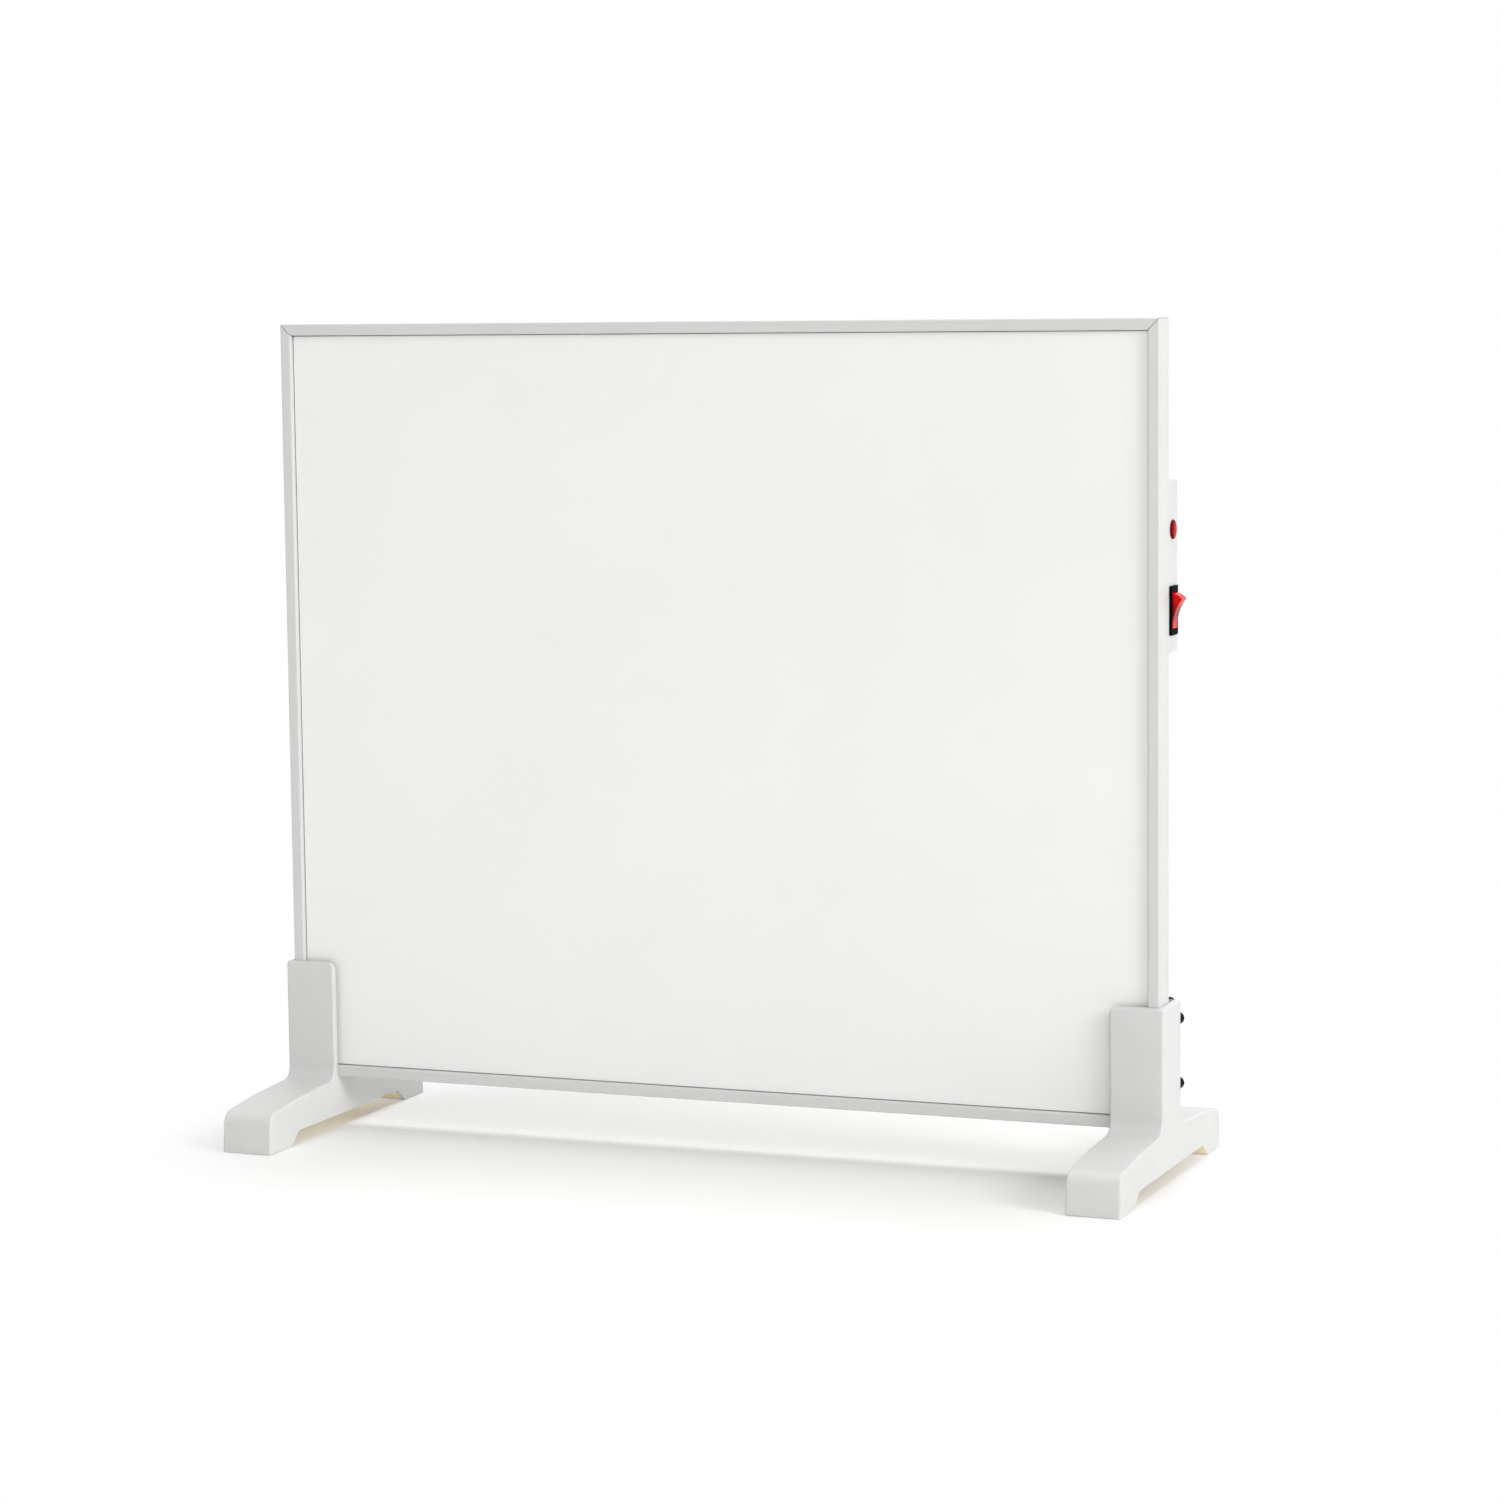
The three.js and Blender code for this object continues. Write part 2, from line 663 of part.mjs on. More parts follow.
// A round thermal switch clipped down by its own flange.
function thermalCutout() {
  const can = rod(6.5, fit + 0.6, 7, 24);
  const flange = backwards(rectangle(22, 8, 2), 1, 3).translate(0, fit, 0);
  const cap = backwards(rectangle(9, 9, 1), 4, 3).translate(0, 6.5, 0);
  return join(can, flange, cap).translate(blockX, 0, cutoutHeight);
}

// An insulated wire on a smooth curve through its points.
function wire(name, finish, ...points) {
  const path = new THREE.CatmullRomCurve3(points.map((point) => new THREE.Vector3(...point)));
  const section = new THREE.Shape().absarc(0, 0, wireRadius, 0, 2 * Math.PI);
  const steps = 14;
  const tube = new THREE.ExtrudeGeometry(section, { steps, curveSegments: 4, extrudePath: path });
  return piece(name, tube, finish);
}

function addWiring(box) {
  const switchBack = pivotX - boxSideX + rockerPivotDepth - bezelThickness - switchBodyDepth - 8.9;
  const blockUnder = blockHeight - 7 - fit;
  const leadOut = [leadHole.x, 1.5, leadHole.y];
  box.add(piece('terminal_block', terminalBlock(), 'nylon'));
  box.add(piece('thermal_cutout', thermalCutout(), 'ceramic'));
  box.add(wire('wire_live', 'redWire',
    [blockX - 9, fit + 5, blockUnder], [blockX - 12, 6.5, 62], [blockX - 12, 8, 34],
    [blockX - 2, 8, 19], [switchBack, sideCentreY, switchHeight - 9]));
  box.add(wire('wire_switched', 'redWire',
    [switchBack, sideCentreY, switchHeight], [switchBack - 4, 9.5, switchHeight + 4],
    [switchBack - 6, 12.5, 40], [blockX + 2, 13.5, 48], [blockX + 0.5, 12.2, cutoutHeight]));
  box.add(wire('wire_neutral', 'blueWire',
    [blockX, fit + 5, blockUnder], [blockX + 3, 8.5, 68.5], [blockX + 14, 9.5, 66],
    [leadHole.x - 2, 5, leadHole.y + 3], [leadOut[0] - 1.6, leadOut[1], leadOut[2] + 1]));
  box.add(wire('wire_element', 'redWire',
    [blockX + 7.2, 4, cutoutHeight], [blockX + 12, 5, cutoutHeight - 1],
    [leadHole.x - 4, 6, leadHole.y - 5], [leadOut[0] + 1.6, leadOut[1], leadOut[2] - 1]));
}

// ---------- feet ----------
// The right foot's own axes: x = 0 at its outer face (the foot lies towards -x), y = 0 in the middle
// of its length and z = 0 on the floor.

const slotFront = -uprightDepth / 2 + plateThickness;
const slotBack = slotFront + frameDepth + 2 * fit;
const slotWallX = -(footOuterX - panelWidth / 2) + fit;
const clampFront = uprightDepth / 2 - clampThickness;

// The whole outside of a foot: a flat T with soft edges.
function footBlank() {
  const half = footLength / 2;
  const root = uprightDepth / 2;
  const below = 6;
  const flare = (toeDraft * below) / toeTipHeight;
  const halfOutline = [
    [half + flare, -below],
    [half - toeDraft, toeTipHeight, toeRadius],
    [half - toeBend, toeBendHeight, 14],
    [root, toeRootHeight, rootRadius],
    [root, footHeight, topRadius],
  ];
  const otherHalf = halfOutline.map(([y, ...rest]) => [-y, ...rest]).reverse();
  const side = outline([...halfOutline, ...otherHalf]);
  const blank = sideways(side, footWidth, 6, softEdge, 3).translate(-footWidth, 0, 0);
  const front = outline([
    [-footWidth, shellLift],
    [0, shellLift],
    [0, footHeight],
    [-footWidth, footHeight, shoulderRadius],
  ]);
  return common(blank, backwards(front, footLength + 2, 6).translate(0, -half - 1, 0));
}

// The arch under a foot, wide at the floor.
function archCut() {
  const half = archLength / 2;
  const shape = outline([
    [-half - archSlope, -1],
    [-half - archSlope, shellLift],
    [-half, archHeight, 1.5],
    [half, archHeight, 1.5],
    [half + archSlope, shellLift],
    [half + archSlope, -1],
  ]);
  return sideways(shape, footWidth + 2, 3).translate(-footWidth - 1, 0, 0);
}

// The hollow under the shell: one long space over the arch, which reaches over a sloping wall into each toe.
// Cross ribs part it above the arch.
function footHollow() {
  const end = footLength / 2 - footWall;
  const floor = 4;
  const bend = footLength / 2 - toeBend;
  const wallTop = archHeight + footWall;
  const halfOutline = [
    [archLength / 2 + 0.5, -1],
    [archLength / 2 + 0.5, wallTop],
    [archLength / 2 + footWall, wallTop],
    [archLength / 2 + archSlope + footWall, floor],
    [end, floor],
    [end - toeDraft, toeTipHeight - footWall, 4],
    [bend, toeBendHeight - footWall],
    [uprightDepth / 2, toeRootHeight - footWall - 0.5],
  ];
  const otherHalf = halfOutline.map(([y, ...rest]) => [-y, ...rest]).reverse();
  const shape = outline([...halfOutline, ...otherHalf]);
  const inside = sideways(shape, footWidth - 2 * footWall, 4).translate(-footWidth + footWall, 0, 0);
  const ribPlaces = [-52, -19, 19, 52];
  const ribs = ribPlaces.map((y) => block([-footWidth, y - 1, archHeight], [0, y + 1, footHeight]));
  return cut(inside, ...ribs);
}

function padCut(sign) {
  const { low, high } = padBox(sign, fit);
  return block([low[0], low[1], -1], [high[0], high[1], padThickness + fit]);
}

// The rubber pad under one toe, and its place.
function padBox(sign, extra = 0) {
  const middle = sign * (footLength / 2 - 15);
  const halfLength = 10 + extra;
  const halfWidth = 11 + extra;
  return {
    low: [-footWidth / 2 - halfWidth, middle - halfLength, 0],
    high: [-footWidth / 2 + halfWidth, middle + halfLength, padThickness],
  };
}

function footShell() {
  const above = footHeight + 1;
  const slot = block([-footWidth - 1, slotFront, floorClearance - 0.2], [slotWallX, slotBack, above]);
  const pocket = block([-footWidth - 1, slotBack - 1, clampBottom], [slotWallX, uprightDepth, above]);
  const clampCut = block([-footWidth - 1, clampFront, clampBottom], [1, uprightDepth, above]);
  const bosses = footScrewHeights.map((z) => (
    block([-footScrewInset - 4.5, slotBack, z - 4.5], [slotWallX + 1, clampFront, z + 4.5])));
  const screwHoles = footScrewHeights.map((z) => (
    rod(gripShankRadius + 0.1, slotBack + 1, clampFront + 1).translate(-footScrewInset, 0, z)));
  const open = cut(footBlank(), slot, pocket, clampCut, archCut(), footHollow(), padCut(-1), padCut(1));
  return cut(join(open, ...bosses), ...screwHoles);
}

// The clamp closes the back of the foot: a plate with ribs that press on the frame.
function footClamp() {
  const gap = 0.1;
  const bottom = clampBottom + fit;
  const back = block([-footWidth - 1, clampFront + gap, bottom], [1, uprightDepth, footHeight + 1]);
  const ribX = [-footWidth + 0.4, -footWidth / 2];
  const ribs = ribX.map((x) => (
    block([x, slotBack - fit + gap, bottom], [x + 2.4, clampFront + 1, footHeight - shoulderRadius])));
  const screwHoles = footScrewHeights.map((z) => (
    rod(gripShankRadius + 0.2, 0, uprightDepth).translate(-footScrewInset, 0, z)));
  const clampHole = rod(gripShankRadius + 0.1, 0, uprightDepth);
  clampHole.translate(-clampScrewInset, 0, clampScrewHeight);
  return cut(join(common(footBlank(), back), ...ribs), ...screwHoles, clampHole);
}

// All the pieces of the right foot, with the place of each in the foot's own axes.
function footPieces() {
  const gripAt = uprightDepth / 2 + fit;
  const gripTo = (x, z, reach) => gripScrew(gripAt - reach).translate(x, gripAt, z);
  const pads = [['front', -1], ['rear', 1]].map(([name, sign]) => {
    const { low, high } = padBox(sign);
    return [`foot_pad_${name}`, block(low, high), 'rubber'];
  });
  const screws = footScrewHeights.map((z, i) => (
    [`foot_screw_${i ? 'upper' : 'lower'}`, gripTo(-footScrewInset, z, slotBack + 1.5), 'blackPlastic']));
  return [
    ['foot_shell', footShell(), 'whitePlastic'],
    ['foot_clamp', footClamp(), 'whitePlastic'],
    ['foot_clamp_screw', gripTo(-clampScrewInset, clampScrewHeight, slotBack), 'blackPlastic'],
    ...screws,
    ...pads,
  ];
}

function addFeet(heater) {
  const right = new THREE.Group();
  right.position.set(centreX + footOuterX, 0, 0);
  const left = new THREE.Group();
  left.position.set(centreX - footOuterX, 0, 0);
  footPieces().forEach(([name, geometry, finish]) => {
    right.add(piece(`${name}_right`, geometry, finish));
    left.add(piece(`${name}_left`, mirrored(geometry), finish));
  });
  heater.add(left, right);
}

// ---------- whole heater ----------

function addPanel(heater) {
  const panel = new THREE.Group();
  panel.position.set(centreX, panelFrontY, panelCentreZ);
  addFrame(panel);
  addCornerKeys(panel);
  addLayers(panel);
  const box = new THREE.Group();
  box.position.set(boxSideX, frameDepth + fit, boxBottom - panelCentreZ);
  addBoxShell(box);
  addSwitch(box);
  addLamp(box);
  addGland(box);
  addWiring(box);
  panel.add(box);
  heater.add(panel);
}

const heater = new THREE.Group();
addPanel(heater);
addFeet(heater);

export default heater;
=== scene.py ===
import json
import math

import bmesh
import bpy
import numpy as np
from mathutils import Matrix, Vector


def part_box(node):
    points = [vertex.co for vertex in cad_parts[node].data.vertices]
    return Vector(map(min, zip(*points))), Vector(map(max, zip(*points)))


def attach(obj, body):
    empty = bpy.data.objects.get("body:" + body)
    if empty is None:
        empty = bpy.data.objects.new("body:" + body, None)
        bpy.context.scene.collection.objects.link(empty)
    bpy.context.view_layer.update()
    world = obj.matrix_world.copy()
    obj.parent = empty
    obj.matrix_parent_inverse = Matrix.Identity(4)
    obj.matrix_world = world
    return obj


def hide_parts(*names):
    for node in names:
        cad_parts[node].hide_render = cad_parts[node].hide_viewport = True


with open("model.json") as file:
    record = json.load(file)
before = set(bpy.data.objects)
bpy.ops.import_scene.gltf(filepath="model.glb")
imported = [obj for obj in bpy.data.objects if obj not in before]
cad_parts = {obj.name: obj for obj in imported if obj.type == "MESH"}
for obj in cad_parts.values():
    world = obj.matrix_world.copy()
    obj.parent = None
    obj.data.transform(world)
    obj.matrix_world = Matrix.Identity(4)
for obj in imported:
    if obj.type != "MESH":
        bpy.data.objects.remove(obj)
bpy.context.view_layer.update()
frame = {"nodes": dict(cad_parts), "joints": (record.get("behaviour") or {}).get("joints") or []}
nodes = frame["nodes"]
mm = 0.001
print("frame loaded,", len(nodes), "nodes")


# The camera of the photograph, solved from the corners of the frame and the feet.
cameraView = {
    "place": (1.00811, -2.47630, 0.56020),
    "yaw": 21.708,  # degrees to the left of straight ahead
    "pitch": 6.341,  # degrees down
    "roll": -0.615,
    "lens": 99.59,  # mm
    "sensor": 36,  # mm
    "farClip": 50,  # m
}


def placeCamera(view):
    yaw, pitch, roll = (math.radians(view[key]) for key in ("yaw", "pitch", "roll"))
    # ahead = (-sin yaw cos pitch, cos yaw cos pitch, -sin pitch), and the roll turns right and up about it.
    ahead = Vector((-math.sin(yaw) * math.cos(pitch), math.cos(yaw) * math.cos(pitch), -math.sin(pitch)))
    level = Vector((math.cos(yaw), math.sin(yaw), 0.0))
    up = level.cross(ahead)
    right = level * math.cos(roll) + up * math.sin(roll)
    up = up * math.cos(roll) - level * math.sin(roll)
    data = bpy.data.cameras.new("photoCamera")
    data.lens = view["lens"]
    data.sensor_width = view["sensor"]
    data.clip_end = view["farClip"]
    camera = bpy.data.objects.new("photoCamera", data)
    bpy.context.scene.collection.objects.link(camera)
    turn = Matrix((right, up, -ahead)).transposed().to_4x4()
    camera.matrix_world = Matrix.Translation(view["place"]) @ turn
    bpy.context.scene.camera = camera


placeCamera(cameraView)


def roundOutline(corners, steps=6):
    # Each corner (x, y, radius) becomes the arc that touches both of its sides: the centre lies on the
    # bisector, radius / sin(half angle) from the corner, and the arc turns evenly between the tangents.
    values = np.array(corners, float)
    points, radius = values[:, :2], values[:, 2]
    before = np.roll(points, 1, 0) - points
    after = np.roll(points, -1, 0) - points
    before /= np.linalg.norm(before, axis=1, keepdims=True)
    after /= np.linalg.norm(after, axis=1, keepdims=True)
    half = np.arccos(np.clip((before * after).sum(1), -1, 1)) / 2
    middle = before + after
    middle /= np.maximum(np.linalg.norm(middle, axis=1, keepdims=True), 1e-9)
    centre = points + middle * (radius / np.sin(half))[:, None]
    reach = (radius / np.tan(half))[:, None]
    start = points + before * reach - centre
    end = points + after * reach - centre
    turn = (np.pi - 2 * half)[:, None]
    t = np.linspace(0, 1, steps + 1)[None, :]
    weightStart = np.sin((1 - t) * turn) / np.sin(turn)
    weightEnd = np.sin(t * turn) / np.sin(turn)
    arcs = centre[:, None] + weightStart[..., None] * start[:, None] + weightEnd[..., None] * end[:, None]
    keep = (radius[:, None] > 0) | (t == 0)
    return arcs[keep]


def insetOutline(points, amounts):
    # Every side of a closed outline moves inwards by each amount. A corner goes to
    # corner + amount * (n1 + n2) / (1 + n1.n2), with n1 and n2 the inward normals of its two sides.
    side = np.roll(points, -1, 0) - points
    side /= np.linalg.norm(side, axis=1, keepdims=True)
    normal = np.stack([-side[:, 1], side[:, 0]], 1)
    last = np.roll(normal, 1, 0)
    mitre = (normal + last) / (1 + (normal * last).sum(1, keepdims=True))
    return points[None] + np.asarray(amounts)[:, None, None] * mitre[None]


def softExtrude(outline, depth, edge, steps):
    # An outline pushed to depth with rounded rims: near each end it shrinks by edge * (1 - sin t)
    # while the height goes as edge * (1 - cos t), t from 0 to a quarter turn.
    t = np.linspace(0, np.pi / 2, steps + 1)
    inset = edge * (1 - np.sin(t))
    rise = edge * (1 - np.cos(t))
    amounts = np.concatenate([inset, inset[::-1]])
    heights = np.concatenate([rise, depth - rise[::-1]])
    flat = insetOutline(outline, amounts)
    return np.concatenate([flat, np.broadcast_to(heights[:, None, None], flat.shape[:2] + (1,))], 2)


def roundedRings(halfX, halfZ, profile, steps=6):
    # Rounded rectangles, one for each (inset, depth, corner radius) of the profile:
    # corner centre + radius * (cos a, sin a) over a quarter turn at each corner.
    inset, depth, radius = (column[:, None] for column in np.array(profile, float).T)
    angle = np.radians((np.arange(4)[:, None] * 90 + np.linspace(0, 90, steps + 1)[None]).ravel())
    signX = np.repeat([1, -1, -1, 1], steps + 1)
    signZ = np.repeat([1, 1, -1, -1], steps + 1)
    x = signX * (halfX - inset - radius) + radius * np.cos(angle)
    z = signZ * (halfZ - inset - radius) + radius * np.sin(angle)
    return np.stack([x, depth + 0 * x, z], 2)


def turnedRings(profile, segments, swell=None):
    # Each (radius, height) of the profile turned about the height axis:
    # (radius cos a, radius sin a, height), where swell(angle, height) adds to the radius.
    radius, height = (column[:, None] for column in np.array(profile, float).T)
    angle = np.linspace(0, 2 * np.pi, segments, endpoint=False)[None]
    wide = radius + (swell(angle, height) if swell else 0) + 0 * angle
    return np.stack([wide * np.cos(angle), wide * np.sin(angle), height + 0 * wide], 2)


def arc(centreR, centreH, radius, start, end, steps=5):
    # Points (centre + radius * (cos, sin)) between two angles in degrees, for a profile.
    t = np.radians(np.linspace(start, end, steps + 1))
    return [(centreR + radius * c, centreH + radius * s) for c, s in zip(np.cos(t), np.sin(t))]


def onAxes(points, origin, first, second, third):
    # origin + x * first + y * second + z * third for every point, in metres from millimetres
    return np.asarray(origin) + mm * (points @ np.array([first, second, third], float))


def ringSolid(rings):
    # Quads join neighbouring rings, and a flat cap closes each end. The faces are turned over where the
    # signed volume, the sum of a . (b x c) over their triangles, is negative.
    rows, columns = rings.shape[:2]
    row = np.arange(rows - 1)[:, None] * columns
    here = np.arange(columns)[None]
    there = (here + 1) % columns
    quads = np.stack([row + here, row + there, row + columns + there, row + columns + here], 2)
    quads = quads.reshape(-1, 4)
    points = rings.reshape(-1, 3)
    faces = quads.tolist() + [list(range(columns))[::-1], list(range((rows - 1) * columns, rows * columns))]
    a, b, c = (points[quads[:, i]] for i in (0, 1, 2))
    d = points[quads[:, 3]]
    middle = points.mean(0)
    volume = np.einsum("ij,ij->i", a - middle, np.cross(b - middle, c - middle)).sum()
    volume += np.einsum("ij,ij->i", a - middle, np.cross(c - middle, d - middle)).sum()
    for cap in faces[-2:]:
        fan = points[cap]
        volume += (np.cross(fan[1:-1] - middle, fan[2:] - middle) @ (fan[0] - middle)).sum()
    if volume < 0:
        faces = [face[::-1] for face in faces]
    return points, faces


def finishPiece(piece, material, replaced, body="heater", crease=35):
    # Smooth shading with creases past an angle in degrees, and normals weighted by area so that flats
    # stay flat.
    mesh = piece.data
    work = bmesh.new()
    work.from_mesh(mesh)
    for face in work.faces:
        face.smooth = True
    for edge in work.edges:
        edge.smooth = edge.calc_face_angle(0) < math.radians(crease)
    work.to_mesh(mesh)
    work.free()
    mesh.materials.clear()
    mesh.materials.append(material)
    weighted = piece.modifiers.new("weightedNormals", "WEIGHTED_NORMAL")
    weighted.keep_sharp = True
    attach(piece, body)
    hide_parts(*replaced)


def newPiece(name, solid, material, replaced, body="heater", crease=35):
    points, faces = solid
    mesh = bpy.data.meshes.new(name)
    mesh.from_pydata(points.tolist(), [], faces)
    mesh.update()
    piece = bpy.data.objects.new(name, mesh)
    bpy.context.scene.collection.objects.link(piece)
    finishPiece(piece, material, replaced, body, crease)


merged = {"reach": 0.01, "flat": 0.4, "crease": 38}  # mm between doubles, and two angles in degrees


def mergedCopy(name, node, material, mark=None):
    # A copy of a solid with its doubles merged and its coplanar triangles joined.
    work = bmesh.new()
    work.from_mesh(nodes[node].data)
    bmesh.ops.remove_doubles(work, verts=work.verts, dist=merged["reach"] * mm)
    bmesh.ops.dissolve_limit(
        work, angle_limit=math.radians(merged["flat"]), verts=work.verts, edges=work.edges)
    mesh = bpy.data.meshes.new(name)
    work.to_mesh(mesh)
    work.free()
    piece = bpy.data.objects.new(name, mesh)
    bpy.context.scene.collection.objects.link(piece)
    if mark:
        mark(mesh)
    finishPiece(piece, material, [node], crease=merged["crease"])


def boxOf(node):
    # A node's lowest corner and its middle in metres, and its size in millimetres.
    low, high = (np.array(corner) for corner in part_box(node))
    return low, (low + high) / 2, (high - low) / mm


def linear(hexColour):  # sRGB hex to linear RGBA
    parts = np.array([int(hexColour[i:i + 2], 16) for i in (0, 2, 4)]) / 255
    values = np.where(parts <= 0.04045, parts / 12.92, ((parts + 0.055) / 1.055) ** 2.4)
    return (*values.tolist(), 1.0)


def addNode(tree, kind, inputs=None, **settings):
    # One node with its settings, and a value or a link for each input named.
    made = tree.nodes.new("ShaderNode" + kind)
    for name, value in settings.items():
        setattr(made, name, value)
    for name, value in (inputs or {}).items():
        if isinstance(value, bpy.types.NodeSocket):
            tree.links.new(value, made.inputs[name])
        else:
            made.inputs[name].default_value = value
    return made


def emptyMaterial(name):
    material = bpy.data.materials.new(name)
    material.use_nodes = True
    material.node_tree.nodes.clear()
    return material, material.node_tree


noiseSpan = {"From Min": 0.3, "From Max": 0.7}  # most of a noise texture's values lie between these


def makeFinish(look):
    # The base colour drifts between two close tones in large soft patches, and a fine grain lifts the
    # surface and shifts its roughness. Sizes are in millimetres.
    material, tree = emptyMaterial(look["name"])
    place = addNode(tree, "TexCoord").outputs["Object"]
    stretch = look.get("stretch", (1, 1, 1))
    spread = addNode(tree, "Mapping", {"Vector": place, "Scale": stretch}).outputs["Vector"]
    patches = addNode(tree, "TexNoise", {
        "Vector": place, "Scale": 1000 / look["patchSize"], "Detail": 3.0,
        "Roughness": 0.55}).outputs["Fac"]
    grain = addNode(tree, "TexNoise", {
        "Vector": spread, "Scale": 1000 / look["grainSize"], "Detail": 2.0,
        "Roughness": 0.6}).outputs["Fac"]
    evened = addNode(tree, "MapRange", {"Value": patches, **noiseSpan}).outputs["Result"]
    oneTone, otherTone = (linear(colour) for colour in look["colours"])
    colour = addNode(tree, "Mix", {
        0: evened, 6: oneTone, 7: otherTone}, data_type="RGBA").outputs[2]
    glow = {}
    if "inner" in look:
        # Painted light: the faces of the hollow under the foot get a warm colour and a faint emission,
        # though they are no lamp.
        # The rim that the arch cuts through the side walls shares its face with the wall behind it, so the
        # painted glow also stops where the distance from the foot's middle goes beyond the hollow's half
        # width.
        across = addNode(tree, "SeparateXYZ", {"Vector": place}).outputs["X"]
        fromPanel = addNode(tree, "Math", {0: across}, operation="ABSOLUTE").outputs["Value"]
        core = addNode(tree, "Math", {0: fromPanel, 1: look["middle"] * mm, 2: look["half"] * mm},
                       operation="COMPARE").outputs["Value"]
        paintedGlowMask = addNode(tree, "Attribute", attribute_name="inside").outputs["Fac"]
        inside = addNode(tree, "Math", {0: paintedGlowMask, 1: core}, operation="MULTIPLY").outputs["Value"]
        colour = addNode(tree, "Mix", {
            0: inside, 6: colour, 7: linear(look["inner"])}, data_type="RGBA").outputs[2]
        paintedGlowStrength = addNode(tree, "Math", {0: inside, 1: look["glow"]}, operation="MULTIPLY").outputs["Value"]
        glow = {"Emission Color": linear(look["inner"]), "Emission Strength": paintedGlowStrength}
    low, high = look["roughness"]
    gloss = addNode(tree, "MapRange", {
        "Value": grain, **noiseSpan, "To Min": low, "To Max": high}).outputs["Result"]
    bump = addNode(tree, "Bump", {
        "Height": grain, "Strength": 1.0, "Distance": look["lift"] * mm}).outputs["Normal"]
    shader = addNode(tree, "BsdfPrincipled", {
        "Base Color": colour, "Roughness": gloss, "Normal": bump, "Metallic": look.get("metallic", 0.0),
        "IOR": look.get("ior", 1.5), **glow, **look.get("extra", {})})
    addNode(tree, "OutputMaterial", {"Surface": shader.outputs["BSDF"]})
    return material


# Polyester powder coat on folded steel: satin, with the fine orange peel of a sprayed film.
# The real peel is about 0.6 mm, drawn at 1.4 mm so that it shows.
powderCoat = makeFinish({
    "name": "powderCoatSteel", "colours": ("D7D7D6", "D3D3D2"), "patchSize": 90, "grainSize": 1.4,
    "lift": 0.012, "roughness": (0.36, 0.46), "extra": {"Coat Weight": 0.12, "Coat Roughness": 0.3},
})

# Matt baked enamel on steel sheet: smooth and chalk white, the radiating face of the panel.
bakedEnamel = makeFinish({
    "name": "bakedEnamelSheet", "colours": ("F6F6F5", "F3F3F2"), "patchSize": 160, "grainSize": 1.8,
    "lift": 0.008, "roughness": (0.48, 0.58),
})

# The same powder coat on the flat sheet at the back, a little rougher.
backCoat = makeFinish({
    "name": "powderCoatSheet", "colours": ("D8D8D7", "D3D3D2"), "patchSize": 120, "grainSize": 1.6,
    "lift": 0.016, "roughness": (0.42, 0.54),
})

# Injection-moulded ABS with a fine spark-eroded texture. The hollow underside of each foot gets painted
# light: a warm colour and a faint glow, standing in for light let through the thin walls. The foot's middle
# and half the hollow's width are in mm.
mouldedAbs = makeFinish({
    "name": "mouldedAbs", "colours": ("D7D7D6", "D3D3D2"), "patchSize": 60, "grainSize": 1.1,
    "lift": 0.014, "roughness": (0.4, 0.5),
    # painted light: the warm colour and glow strength given to the hollow under the foot
    "inner": "EBDFC4", "glow": 0.16, "middle": 290.7, "half": 15.0,
    "extra": {"Subsurface Weight": 0.04, "Subsurface Radius": (1.0, 0.8, 0.6), "Subsurface Scale": 0.002},
})

whiteNylon = makeFinish({  # moulded nylon: slightly creamier and softer than ABS
    "name": "mouldedNylon", "colours": ("E2E1DC", "DCDBD6"), "patchSize": 12, "grainSize": 0.8,
    "lift": 0.01, "roughness": (0.42, 0.52), "ior": 1.53,
})

blackNylon = makeFinish({  # glass-filled black nylon, with the dull sheen of a textured mould
    "name": "blackGlassNylon", "colours": ("030303", "060607"), "patchSize": 6, "grainSize": 0.7,
    "lift": 0.012, "roughness": (0.5, 0.62), "extra": {"Specular IOR Level": 0.02},
})

gripNylon = makeFinish({  # the grips of the foot screws: plain black nylon, a touch smoother
    "name": "blackGripNylon", "colours": ("030303", "060606"), "patchSize": 4, "grainSize": 0.6,
    "lift": 0.01, "roughness": (0.45, 0.58), "extra": {"Specular IOR Level": 0.02},
})

zincPlate = makeFinish({  # zinc-plated steel: pale grey, faintly clouded by its passivation
    "name": "zincPlatedSteel", "colours": ("C3C5C6", "B4B7B4"), "patchSize": 5, "grainSize": 0.5,
    "lift": 0.006, "roughness": (0.26, 0.4), "metallic": 1.0,
})

stampedBrass = makeFinish({  # stamped brass blades, drawn along their length
    "name": "stampedBrass", "colours": ("D8B766", "C6A254"), "patchSize": 6, "grainSize": 0.5,
    "stretch": (0.12, 1, 1), "lift": 0.006, "roughness": (0.22, 0.34), "metallic": 1.0,
})

nickelPlate = makeFinish({  # nickel-plated brass nut
    "name": "nickelPlatedBrass", "colours": ("CCC9C1", "BFBCB3"), "patchSize": 5, "grainSize": 0.5,
    "lift": 0.005, "roughness": (0.2, 0.32), "metallic": 1.0,
})

rolledFoil = makeFinish({  # bright rolled aluminium foil, with long upright creases
    "name": "rolledFoil", "colours": ("E3E5E6", "D6D9DB"), "patchSize": 30, "grainSize": 9,
    "stretch": (1, 1, 0.25), "lift": 0.15, "roughness": (0.16, 0.3), "metallic": 1.0,
})

woolBoard = makeFinish({  # pressed glass wool: yellow fibres lying in the plane of the board
    "name": "pressedGlassWool", "colours": ("DCCF96", "C9B877"), "patchSize": 14, "grainSize": 2.4,
    "stretch": (0.2, 1, 1), "lift": 0.35, "roughness": (0.85, 0.98),
})

ivoryNylon = makeFinish({  # ivory nylon terminal strip
    "name": "ivoryNylon", "colours": ("ECE7D6", "E4DECB"), "patchSize": 9, "grainSize": 0.8,
    "lift": 0.01, "roughness": (0.42, 0.54), "ior": 1.53,
})

